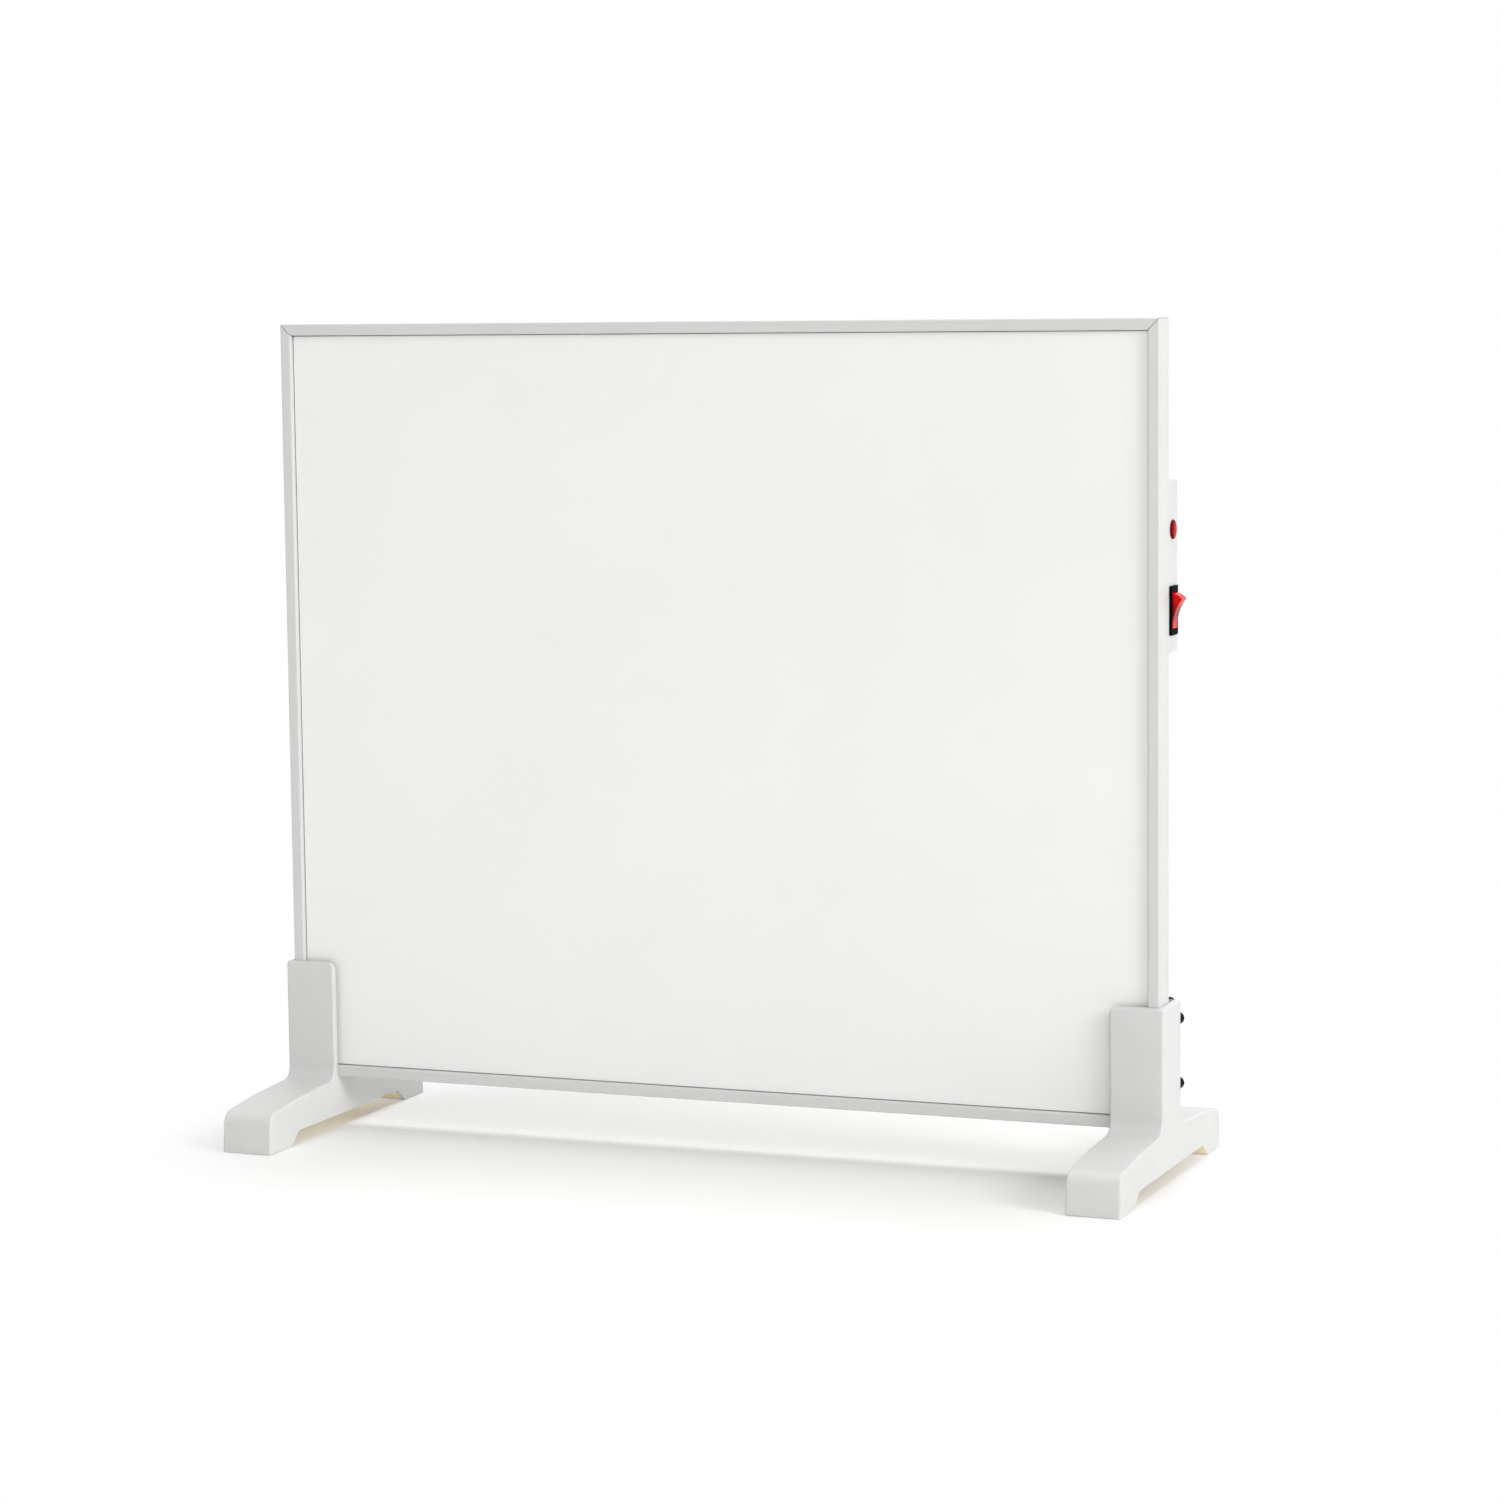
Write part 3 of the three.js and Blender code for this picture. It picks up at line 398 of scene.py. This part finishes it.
steatite = makeFinish({  # glazed steatite ceramic, glossy with a slightly wavy glaze
    "name": "glazedSteatite", "colours": ("F0ECDF", "E9E4D4"), "patchSize": 7, "grainSize": 3,
    "lift": 0.02, "roughness": (0.1, 0.2), "ior": 1.52,
})

padRubber = makeFinish({  # black moulded rubber with a bloom of dust in its texture
    "name": "mouldedRubber", "colours": ("232324", "2E2E2F"), "patchSize": 5, "grainSize": 0.8,
    "lift": 0.03, "roughness": (0.72, 0.88), "ior": 1.52,
})

redSilicone = makeFinish({  # extruded silicone insulation, soft and matt
    "name": "redSiliconeWire", "colours": ("9A3226", "86281D"), "patchSize": 6, "grainSize": 0.7,
    "lift": 0.008, "roughness": (0.5, 0.62), "ior": 1.42,
})

blueSilicone = makeFinish({  # the neutral wire, in blue silicone
    "name": "blueSiliconeWire", "colours": ("31579A", "274A86"), "patchSize": 6, "grainSize": 0.7,
    "lift": 0.008, "roughness": (0.5, 0.62), "ior": 1.42,
})


polycarbonate = {
    "ior": 1.58, "swirlSize": 2.5, "swirlShare": 0.25, "ripple": 0.02,  # sizes in mm
    "scatter": {
        "Subsurface Weight": 0.15, "Subsurface Radius": (1.0, 0.08, 0.05), "Subsurface Scale": 0.0015},
}


def makePolycarbonate(look):
    # Tinted clear polycarbonate, moulded glossy: the red changes from one colour at the centre to another
    # further out, and slow swirls from the moulding stir it a little. On the rocker this is painted shade,
    # dark near the bezel and bright at the exposed tip; the lens is brighter in the middle and darker
    # towards its rim.
    material, tree = emptyMaterial(look["name"])
    place = addNode(tree, "TexCoord").outputs["Object"]
    fromCentre = addNode(tree, "VectorMath", {
        0: place, 1: tuple(look["centre"])}, operation="DISTANCE").outputs["Value"]
    near, far = look["reach"]
    outer = addNode(tree, "MapRange", {
        "Value": fromCentre, "From Min": near * mm, "From Max": far * mm},
        interpolation_type="SMOOTHSTEP").outputs["Result"]
    swirl = addNode(tree, "TexNoise", {
        "Vector": place, "Scale": 1000 / polycarbonate["swirlSize"], "Detail": 2.0,
        "Distortion": 0.6}).outputs["Fac"]
    share = polycarbonate["swirlShare"]
    stirred = addNode(tree, "Math", {
        0: swirl, 1: share, 2: -share / 2}, operation="MULTIPLY_ADD").outputs["Value"]
    amount = addNode(tree, "Math", {0: outer, 1: stirred}, operation="ADD", use_clamp=True).outputs["Value"]
    centreColour, outerColour = (linear(colour) for colour in look["colours"])
    colour = addNode(tree, "Mix", {0: amount, 6: centreColour, 7: outerColour}, data_type="RGBA").outputs[2]
    ripple = addNode(tree, "Bump", {
        "Height": swirl, "Strength": 1.0, "Distance": polycarbonate["ripple"] * mm}).outputs["Normal"]
    shader = addNode(tree, "BsdfPrincipled", {
        "Base Color": colour, "Roughness": look["roughness"], "Normal": ripple, "IOR": polycarbonate["ior"],
        "Specular IOR Level": look["specular"], **polycarbonate["scatter"]})
    addNode(tree, "OutputMaterial", {"Surface": shader.outputs["BSDF"]})
    return material


film = {
    "spacing": 8.0, "colours": ("4A3A28", "121213"), "edge": (-0.75, -0.6), "gloss": (0.2, 0.38),
    "step": 0.03, "ior": 1.57,
}


def makeCarbonFilm():
    # Printed carbon tracks, 6 mm wide at 8 mm spacing, between polyester sheets: black stripes on brown,
    # where a sine wave across the film rises past the edge values.
    material, tree = emptyMaterial("printedCarbonFilm")
    place = addNode(tree, "TexCoord").outputs["Object"]
    across = addNode(tree, "SeparateXYZ", {"Vector": place}).outputs["X"]
    phase = addNode(tree, "Math", {
        0: across, 1: 2 * math.pi / (film["spacing"] * mm)}, operation="MULTIPLY").outputs["Value"]
    wave = addNode(tree, "Math", {0: phase}, operation="SINE").outputs["Value"]
    low, high = film["edge"]
    track = addNode(tree, "MapRange", {
        "Value": wave, "From Min": low, "From Max": high}).outputs["Result"]
    brown, black = (linear(colour) for colour in film["colours"])
    colour = addNode(tree, "Mix", {0: track, 6: brown, 7: black}, data_type="RGBA").outputs[2]
    smooth, dull = film["gloss"]
    gloss = addNode(tree, "MapRange", {"Value": track, "To Min": smooth, "To Max": dull}).outputs["Result"]
    step = addNode(tree, "Bump", {
        "Height": track, "Strength": 1.0, "Distance": film["step"] * mm}).outputs["Normal"]
    shader = addNode(tree, "BsdfPrincipled", {
        "Base Color": colour, "Roughness": gloss, "Normal": step, "IOR": film["ior"]})
    addNode(tree, "OutputMaterial", {"Surface": shader.outputs["BSDF"]})
    return material


rockerPivot = np.array(frame["joints"][0]["pos_m"])
rockerShadeCentre = rockerPivot - (3 * mm, 0, 0)  # painted shade: the red is darkest here, behind the pivot near the bezel
# painted shade on the rocker: near black at the centre, bright red further out
rockerRed = makePolycarbonate({
    "name": "redPolycarbonateRocker", "colours": ("1C0001", "D40306"), "centre": rockerShadeCentre,
    "reach": (5.5, 12.5), "roughness": 0.2, "specular": 0.1,
})
lensRed = makePolycarbonate({
    "name": "redPolycarbonateLens", "colours": ("B80101", "640001"), "centre": boxOf("lamp_lens")[1],
    "reach": (3, 6.4), "roughness": 0.16, "specular": 0.03,
})
carbonFilm = makeCarbonFilm()
print("materials made")


rails = {
    "lip": 7.5, "wall": 1.4, "return": 6.8, "returnWall": 1.2, "rearFlange": 10.0, "depth": 22.0,
    "outerRadius": 0.9, "lipRadius": 1.2, "rearRadius": 0.5, "flangeRadius": 0.3,
    "groove": 4.0, "grooveHalf": 0.4, "mitreGap": 0.6,
}


def railSection(sizes):
    # The folded section as (distance in from the outer side, depth behind the front face).
    return roundOutline([
        (0, 0, sizes["outerRadius"]),
        (0, sizes["groove"] - sizes["grooveHalf"], 0),
        (sizes["grooveHalf"], sizes["groove"], 0),
        (0, sizes["groove"] + sizes["grooveHalf"], 0),
        (0, sizes["depth"], sizes["rearRadius"]),
        (sizes["rearFlange"], sizes["depth"], sizes["flangeRadius"]),
        (sizes["rearFlange"], sizes["depth"] - sizes["wall"], 0),
        (sizes["wall"], sizes["depth"] - sizes["wall"], 0),
        (sizes["wall"], sizes["wall"], 0),
        (sizes["lip"] - sizes["returnWall"], sizes["wall"], 0),
        (sizes["lip"] - sizes["returnWall"], sizes["return"], 0),
        (sizes["lip"], sizes["return"], 0),
        (sizes["lip"], 0, sizes["lipRadius"]),
    ])


def makeRails():
    # Each rail is the section carried along its side of the panel, and its ends lie on the mitres:
    # half length = half the side - distance in from the outer side - half the gap between two rails.
    low = np.array(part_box("frame_left")[0])
    high = np.array(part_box("frame_right")[1])
    low[2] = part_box("frame_bottom")[0][2]
    high[2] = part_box("frame_top")[1][2]
    centre = (low + high) / 2
    half = (high - low) / 2 / mm
    section = railSection(rails)
    sides = {
        "bottom": ((0, 0, 1), (1, 0, 0), half[2], half[0]),
        "top": ((0, 0, -1), (-1, 0, 0), half[2], half[0]),
        "right": ((-1, 0, 0), (0, 0, 1), half[0], half[2]),
        "left": ((1, 0, 0), (0, 0, -1), half[0], half[2]),
    }
    for side, (inward, along, reach, halfLength) in sides.items():
        ends = halfLength - section[:, 0] - rails["mitreGap"] / 2
        rings = np.stack([np.column_stack([section, sign * ends]) for sign in (-1, 1)])
        origin = centre - np.array(inward) * reach * mm
        origin[1] = low[1]
        solid = ringSolid(onAxes(rings, origin, inward, (0, 1, 0), along))
        newPiece(f"rail_{side}", solid, powderCoat, [f"frame_{side}"])


tray = {
    "thickness": 1.2, "wall": 1.0, "fold": 0.55, "foldSteps": 5, "corner": 1.2, "flangeInset": 5.9,
    "flangeCorner": 0.3, "innerCorner": 0.4,
}


def makeTray():
    # The profile runs over the fold, down the wall, out along the flange and back inside, round the panel.
    # The fold is a quarter circle: (edge + fold * (1 - sin t), fold * (1 - cos t)).
    low, middle, size = boxOf("front_panel")
    deep = size[1]
    edge, wall, fold, corner = tray["flangeInset"], tray["wall"], tray["fold"], tray["corner"]
    over = [(edge + fold - fold * math.sin(t), fold - fold * math.cos(t), corner)
            for t in np.linspace(0, math.pi / 2, tray["foldSteps"] + 1)]
    profile = over + [
        (edge, deep - wall, corner),
        (0, deep - wall, tray["flangeCorner"]),
        (0, deep, tray["flangeCorner"]),
        (edge + wall, deep, tray["innerCorner"]),
        (edge + wall, tray["thickness"], tray["innerCorner"]),
    ]
    rings = roundedRings(size[0] / 2, size[2] / 2, profile)
    origin = (middle[0], low[1], middle[2])
    solid = ringSolid(onAxes(rings, origin, (1, 0, 0), (0, 1, 0), (0, 0, 1)))
    newPiece("frontSheet", solid, bakedEnamel, ["front_panel"])


backSheet = {"edge": 0.3, "corner": 2.0}


def makeBackCover():
    # Rounded rectangles through the sheet, drawn in by the edge's bevel at both faces.
    low, middle, size = boxOf("back_cover")
    deep = size[1]
    edge, corner = backSheet["edge"], backSheet["corner"]
    profile = [(edge, 0, corner), (0, edge, corner), (0, deep - edge, corner), (edge, deep, corner)]
    rings = roundedRings(size[0] / 2, size[2] / 2, profile)
    origin = (middle[0], low[1], middle[2])
    solid = ringSolid(onAxes(rings, origin, (1, 0, 0), (0, 1, 0), (0, 0, 1)))
    newPiece("backSheet", solid, backCoat, ["back_cover"])


makeRails()
makeTray()
makeBackCover()
print("frame and panel made")


crossHead = {
    "steps": 14, "segments": 56, "inmost": 0.04,  # rings of the head, down to this share of its radius
    "tallShare": 0.56, "tallExtra": 0.1, "dome": 0.42, "sink": 0.5,
    "arm": 0.52, "armSlope": 0.12, "slot": 0.13, "slotRim": 1.6, "slotSlope": 0.9, "tip": 0.6,
}


def makeScrew(name, node, shankRadius):
    # The head is a surface over (share of its radius, angle): height = head * (1 - dome * share^4), less
    # sink * head inside a cross-shaped recess, which fades past the arm's length and the slot's half width.
    head = crossHead
    low, middle, size = boxOf(node)
    length, headRadius = size[1], size[0] / 2
    headHeight = head["tallShare"] * headRadius + head["tallExtra"]
    share = np.linspace(1, head["inmost"], head["steps"])[:, None]
    angle = np.linspace(0, 2 * np.pi, head["segments"], endpoint=False)[None]
    x, z = share * np.cos(angle), share * np.sin(angle)
    near = np.minimum(np.abs(x), np.abs(z))
    far = np.maximum(np.abs(x), np.abs(z))
    cross = np.clip((head["slot"] * head["slotRim"] - near) / (head["slot"] * head["slotSlope"]), 0, 1)
    cross *= np.clip((head["arm"] - far) / head["armSlope"], 0, 1)
    dome = headHeight * (1 - head["dome"] * share ** 4) - head["sink"] * headHeight * cross
    top = np.stack([x * headRadius, z * headRadius, length - headHeight + dome], 2)
    under = turnedRings([
        (shankRadius * head["tip"], 0), (shankRadius, shankRadius), (shankRadius, length - headHeight),
        (headRadius, length - headHeight),
    ], head["segments"])
    rings = np.concatenate([under, top])
    origin = (middle[0], low[1], middle[2])
    solid = ringSolid(onAxes(rings, origin, (1, 0, 0), (0, 0, 1), (0, 1, 0)))
    newPiece(name, solid, zincPlate, [node])


grip = {
    "flutes": 12, "flute": 0.2, "rim": 0.8, "length": 10.0, "segments": 144, "crease": 50,
    "shank": 1.9, "tip": 0.7, "tipHeight": 0.6, "shankGap": 0.01,
    "dish": 0.5, "dishRim": 0.55, "dishFloor": 0.5, "dishMiddle": 0.4,
}


def makeGrip(name, node):
    # radius = grip radius - flute * (1 - cos(12 angle)) / 2, with a rounded rim and a shallow dish in
    # its end.
    low, middle, size = boxOf(node)
    length, radius = size[1], size[0] / 2
    start = length - grip["length"]
    rim, shank, dishFloor = grip["rim"], grip["shank"], length - grip["dish"]

    def swell(angle, height):
        return -np.where(height >= start, 1, 0) * grip["flute"] * (1 - np.cos(grip["flutes"] * angle)) / 2

    profile = [(shank * grip["tip"], 0), (shank, grip["tipHeight"]), (shank, start - grip["shankGap"])]
    profile += arc(radius - rim, start + rim, rim, -90, 0)
    profile += arc(radius - rim, length - rim, rim, 0, 90)
    profile += [(radius * grip["dishRim"], length), (radius * grip["dishFloor"], dishFloor)]
    profile += [(grip["dishMiddle"], dishFloor)]
    rings = turnedRings(profile, grip["segments"], swell)
    origin = (middle[0], low[1], middle[2])
    solid = ringSolid(onAxes(rings, origin, (1, 0, 0), (0, 0, 1), (0, 1, 0)))
    newPiece(name, solid, gripNylon, [node], crease=grip["crease"])


shanks = {"cover": 1.4, "box": 1.5}  # radii in mm

for side in ("bottom", "right", "top", "left"):
    for number in (1, 2):
        makeScrew(f"coverScrew_{side}_{number}", f"cover_screw_{side}_{number}", shanks["cover"])
for level in ("upper", "lower"):
    for place in ("outer", "inner"):
        makeScrew(f"boxScrew_{level}_{place}", f"box_screw_{level}_{place}", shanks["box"])
for side in ("left", "right"):
    for kind in ("foot_clamp_screw", "foot_screw_lower", "foot_screw_upper"):
        makeGrip(f"grip_{kind}_{side}", f"{kind}_{side}")
print("screws and grips made")


foot = {
    "skin": 2.4, "low": 1.0, "floor": 13.0, "top": 32.0,  # mm
    "arch": 0.75,  # share of the foot's half length
    "level": 0.3,  # a face looks along an axis from this share of its normal on
}


def markHollowForPaintedGlow(side):
    # 1 on the faces of the hollow under the shell and 0 on its outside, for the hollow's painted warm glow.
    # A face of the hollow lies further in than the skin. Above the toe's floor it doesn't look up, and at
    # the ends of the foot it looks back towards the middle.
    low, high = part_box(f"foot_shell_{side}")

    def mark(mesh):
        count = len(mesh.polygons)
        middle, normal = np.zeros(count * 3), np.zeros(count * 3)
        mesh.polygons.foreach_get("center", middle)
        mesh.polygons.foreach_get("normal", normal)
        x, y, z = middle.reshape(-1, 3).T / mm
        _, alongY, up = normal.reshape(-1, 3).T
        skin, reach = foot["skin"], high[1] / mm
        inside = (x > low[0] / mm + skin) & (x < high[0] / mm - skin) & (np.abs(y) < reach - skin)
        inside &= z > foot["low"]
        inside &= (up < foot["level"]) | (z < foot["floor"])
        inside &= (alongY * np.sign(y) < foot["level"]) | (np.abs(y) < foot["arch"] * reach)
        inside &= z < foot["top"]
        attribute = mesh.attributes.new("inside", "FLOAT", "FACE")
        attribute.data.foreach_set("value", inside.astype(np.float32))

    return mark


pad = {"bevel": 0.4, "bevelCorner": 1.6, "corner": 2, "sunkInset": 3, "sunkCorner": 1.2, "sunk": 0.3}


def makePad(name, node):
    # A rubber pad: rounded rectangles from a bevelled lower edge up to a top whose middle is sunk a little.
    low, middle, size = boxOf(node)
    thick = size[2]
    profile = [
        (pad["bevel"], 0, pad["bevelCorner"]),
        (0, pad["bevel"], pad["corner"]),
        (0, thick, pad["corner"]),
        (pad["sunkInset"], thick, pad["sunkCorner"]),
        (pad["sunkInset"], thick - pad["sunk"], pad["sunkCorner"]),
    ]
    rings = roundedRings(size[0] / 2, size[1] / 2, profile)
    origin = (middle[0], middle[1], low[2])
    solid = ringSolid(onAxes(rings, origin, (1, 0, 0), (0, 0, 1), (0, 1, 0)))
    newPiece(name, solid, padRubber, [node])


for side in ("left", "right"):
    mergedCopy(f"footShell_{side}", f"foot_shell_{side}", mouldedAbs, markHollowForPaintedGlow(side))
    mergedCopy(f"footClamp_{side}", f"foot_clamp_{side}", mouldedAbs)
    for end in ("front", "rear"):
        makePad(f"footPad_{end}_{side}", f"foot_pad_{end}_{side}")
print("feet made")


rocker = {
    "radius": 11.5, "tip": 56.5, "back": 99.0, "dish": 3.4, "tilt": 18.0, "width": 10.6, "edge": 0.55,
    "endPoints": 14, "facePoints": 26, "edgeSteps": 5, "crease": 40,
}


def rockerOutline(sizes):
    # Two arcs about the pivot for the ends, and between the tips the curve
    # (1-t)^2 upper tip + 2 t (1-t) middle + t^2 lower tip, which dishes the face.
    tip, back = math.radians(sizes["tip"]), math.radians(sizes["back"])
    end = np.linspace(back, tip, sizes["endPoints"])
    upper = sizes["radius"] * np.stack([np.cos(end), np.sin(end)], 1)
    lower = upper[::-1] * (1, -1)
    t = np.linspace(0, 1, sizes["facePoints"])[1:-1, None]
    middle = np.array([[upper[-1, 0] - sizes["dish"], 0]])
    face = (1 - t) ** 2 * upper[-1] + 2 * t * (1 - t) * middle + t ** 2 * lower[0]
    return np.concatenate([upper, face, lower])[::-1]


def makeRocker():
    # The outline pushed along the pivot's axis and tilted, so that its upper end stands out at rest.
    rings = softExtrude(rockerOutline(rocker), rocker["width"], rocker["edge"], rocker["edgeSteps"])
    rings = rings - (0, 0, rocker["width"] / 2)
    tilt = math.radians(rocker["tilt"])
    outward = (math.cos(tilt), 0, -math.sin(tilt))
    upward = (math.sin(tilt), 0, math.cos(tilt))
    solid = ringSolid(onAxes(rings, rockerPivot, outward, upward, (0, 1, 0)))
    newPiece("rockerLever", solid, rockerRed, ["switch_rocker"], "rocker",
             rocker["crease"])


lens = {"dome": 2.0, "rim": 0.5, "bevel": 0.15, "stem": 3.6, "steps": 15, "lastAngle": 88, "segments": 72}


def makeLens():
    # A low dome on a round flange: height = flange + rise * sin a, radius = lens radius * cos a.
    low, middle, size = boxOf("lamp_lens")
    radius = size[2] / 2
    flange = size[0] - lens["dome"]
    rim, bevel, stem = lens["rim"], lens["bevel"], lens["stem"]
    angle = np.radians(np.linspace(0, lens["lastAngle"], lens["steps"] + 1))
    top = [(radius * math.cos(a), flange + rim + (lens["dome"] - rim) * math.sin(a)) for a in angle]
    profile = [(stem, 0), (stem, flange), (radius - bevel, flange), (radius, flange + bevel)] + top
    rings = turnedRings(profile, lens["segments"])
    origin = (low[0], middle[1], middle[2])
    solid = ringSolid(onAxes(rings, origin, (0, 1, 0), (0, 0, 1), (1, 0, 0)))
    newPiece("lampLens", solid, lensRed, ["lamp_lens"])


capNut = {  # pairs are (radius, height)
    "ribs": 22, "rib": 0.3, "segments": 132, "plainBelow": 2.7, "plainAbove": 0.4,
    "mouth": 5.2, "mouthEdge": (5.6, 0.25), "cone": (6.9, 2.6), "shoulder": 3.0, "shoulderInset": 0.1,
    "rim": 0.4, "rimHeight": 0.6, "bore": 4.2, "boreTop": 3.4, "seat": (6.1, 4.1),
}


def makeCapNut():
    # radius = profile - rib * (1 - cos(22 angle)) / 2 on the gripping part, plain at both ends.
    nut = capNut
    low, middle, size = boxOf("gland_cap_nut")
    tall, radius = size[2], size[0] / 2

    def swell(angle, height):
        inside = (height > nut["plainBelow"]) & (height < tall - nut["plainAbove"])
        return -np.where(inside, 1, 0) * nut["rib"] * (1 - np.cos(nut["ribs"] * angle)) / 2

    outer = [
        (nut["mouth"], 0), nut["mouthEdge"], nut["cone"], (radius - nut["shoulderInset"], nut["shoulder"]),
        (radius, tall - nut["rimHeight"]), (radius - nut["rim"], tall),
    ]
    inner = [(nut["seat"][0], tall), nut["seat"], (nut["bore"], nut["boreTop"]), (nut["bore"], 0)]
    columns = nut["segments"]
    rings = np.concatenate([turnedRings(outer, columns, swell), turnedRings(inner, columns)])
    rings = np.concatenate([rings, rings[:1]])
    origin = (middle[0], middle[1], low[2])
    points, faces = ringSolid(onAxes(rings, origin, (1, 0, 0), (0, 1, 0), (0, 0, 1)))
    # The last ring is the first one again, so its points are dropped and the two caps with them.
    joined = len(points) - columns
    faces = [[i - joined if i >= joined else i for i in face] for face in faces if len(face) == 4]
    newPiece("glandCapNut", (points[:joined], faces), whiteNylon, ["gland_cap_nut"])


mergedCopy("boxHousing", "box_housing", mouldedAbs)
mergedCopy("switchBody", "switch_body", blackNylon)
mergedCopy("glandBody", "gland_body", whiteNylon)
makeRocker()
makeLens()
makeCapNut()
print("switch box made")


def dress(material, *names):  # a solid whose shape is right keeps it and gets its finish
    for name in names:
        nodes[name].data.materials.clear()
        nodes[name].data.materials.append(material)


dress(zincPlate, *[name for name in nodes if name.startswith("corner_key")])
dress(stampedBrass, *[name for name in nodes if name.startswith("switch_terminal")])
dress(redSilicone, "wire_live", "wire_switched", "wire_element")
dress(blueSilicone, "wire_neutral")
dress(carbonFilm, "heating_film")
dress(rolledFoil, "reflector_foil")
dress(woolBoard, "insulation_board")
dress(backCoat, "box_base")
dress(blackNylon, "lamp_body")
dress(nickelPlate, "lamp_nut")
dress(whiteNylon, "gland_locknut")
dress(padRubber, "gland_seal")
dress(ivoryNylon, "terminal_block")
dress(steatite, "thermal_cutout")
print("inner parts dressed")


studio = {
    "floorRadius": 14.0,
    "floorSides": 96,
    "floorColour": "F0F0EF",
    "shadowMiddle": (0.0, -0.03, 0.0),
    "shadowReach": (0.37, 0.30),  # half width and half depth in m of the patch that keeps shadows
    "fade": (0.7, 1.12),  # from the patch's middle outwards, in shares of its reach
    "sky": 0.52,
}
lamps = {  # places and sizes in m, powers in W
    "keyLamp": {"place": (6.2, -2.2, 3.1), "aim": (0, 0, 0.25), "size": 3.0, "power": 240.0},
    "topLamp": {"place": (0.2, 1.17, 6.0), "aim": (0, -0.05, 0), "size": 3.2, "power": 168.0},
    "frontLamp": {"place": (3.0, -4.6, 4.0), "aim": (0, 0, 0.25), "size": 3.6, "power": 44.0},
}


def seenDirectly(tree):
    # 1 for rays from the camera and for those that a glossy or clear surface passes on, and 0 for the rest.
    path = addNode(tree, "LightPath").outputs
    seen = addNode(tree, "Math", {
        0: path["Is Camera Ray"], 1: path["Is Glossy Ray"]}, operation="MAXIMUM").outputs["Value"]
    return addNode(tree, "Math", {
        0: seen, 1: path["Is Transmission Ray"]}, operation="MAXIMUM").outputs["Value"]


def makeFloor():
    # A disc of pale paper that catches shadows round the heater. Further out it fades to plain white.
    angle = np.linspace(0, 2 * np.pi, studio["floorSides"], endpoint=False)
    ring = np.stack([np.cos(angle), np.sin(angle), 0 * angle], 1)
    mesh = bpy.data.meshes.new("studioFloor")
    mesh.from_pydata((ring * studio["floorRadius"]).tolist(), [], [list(range(studio["floorSides"]))])
    floor = bpy.data.objects.new("studioFloor", mesh)
    bpy.context.scene.collection.objects.link(floor)
    material, tree = emptyMaterial("studioPaper")
    place = addNode(tree, "TexCoord").outputs["Object"]
    wide, deep = studio["shadowReach"]
    shares = addNode(tree, "Mapping", {
        "Vector": place, "Location": studio["shadowMiddle"],
        "Scale": (wide, deep, 1.0)}, vector_type="TEXTURE")
    away = addNode(tree, "VectorMath", {0: shares.outputs["Vector"]}, operation="LENGTH").outputs["Value"]
    near, far = studio["fade"]
    fade = addNode(tree, "MapRange", {
        "Value": away, "From Min": near, "From Max": far},
        interpolation_type="SMOOTHSTEP").outputs["Result"]
    shown = addNode(tree, "Math", {0: seenDirectly(tree), 1: fade}, operation="MULTIPLY").outputs["Value"]
    paper = addNode(tree, "BsdfDiffuse", {"Color": linear(studio["floorColour"])}).outputs["BSDF"]
    white = addNode(tree, "Emission", {"Color": (1, 1, 1, 1), "Strength": 1.0}).outputs["Emission"]
    mixed = addNode(tree, "MixShader", {0: shown, 1: paper, 2: white}).outputs["Shader"]
    addNode(tree, "OutputMaterial", {"Surface": mixed})
    mesh.materials.append(material)


def makeSky():
    # White where it is seen, and dimmer as a light on the heater.
    world = bpy.data.worlds.new("studioSky")
    bpy.context.scene.world = world
    world.use_nodes = True
    tree = world.node_tree
    tree.nodes.clear()
    strength = addNode(tree, "MapRange", {
        "Value": seenDirectly(tree), "To Min": studio["sky"], "To Max": 1.0}).outputs["Result"]
    glow = addNode(tree, "Background", {"Color": (1, 1, 1, 1), "Strength": strength}).outputs["Background"]
    addNode(tree, "OutputWorld", {"Surface": glow})


def addLamp(name, values):
    data = bpy.data.lights.new(name, "AREA")
    data.shape = "DISK"
    data.size = values["size"]
    data.energy = values["power"]
    lamp = bpy.data.objects.new(name, data)
    bpy.context.scene.collection.objects.link(lamp)
    place = Vector(values["place"])
    turn = (Vector(values["aim"]) - place).to_track_quat("-Z", "Y").to_matrix().to_4x4()
    lamp.matrix_world = Matrix.Translation(place) @ turn


makeFloor()
makeSky()
for name, values in lamps.items():
    addLamp(name, values)
bpy.context.scene.view_settings.view_transform = "Standard"
print("studio made")
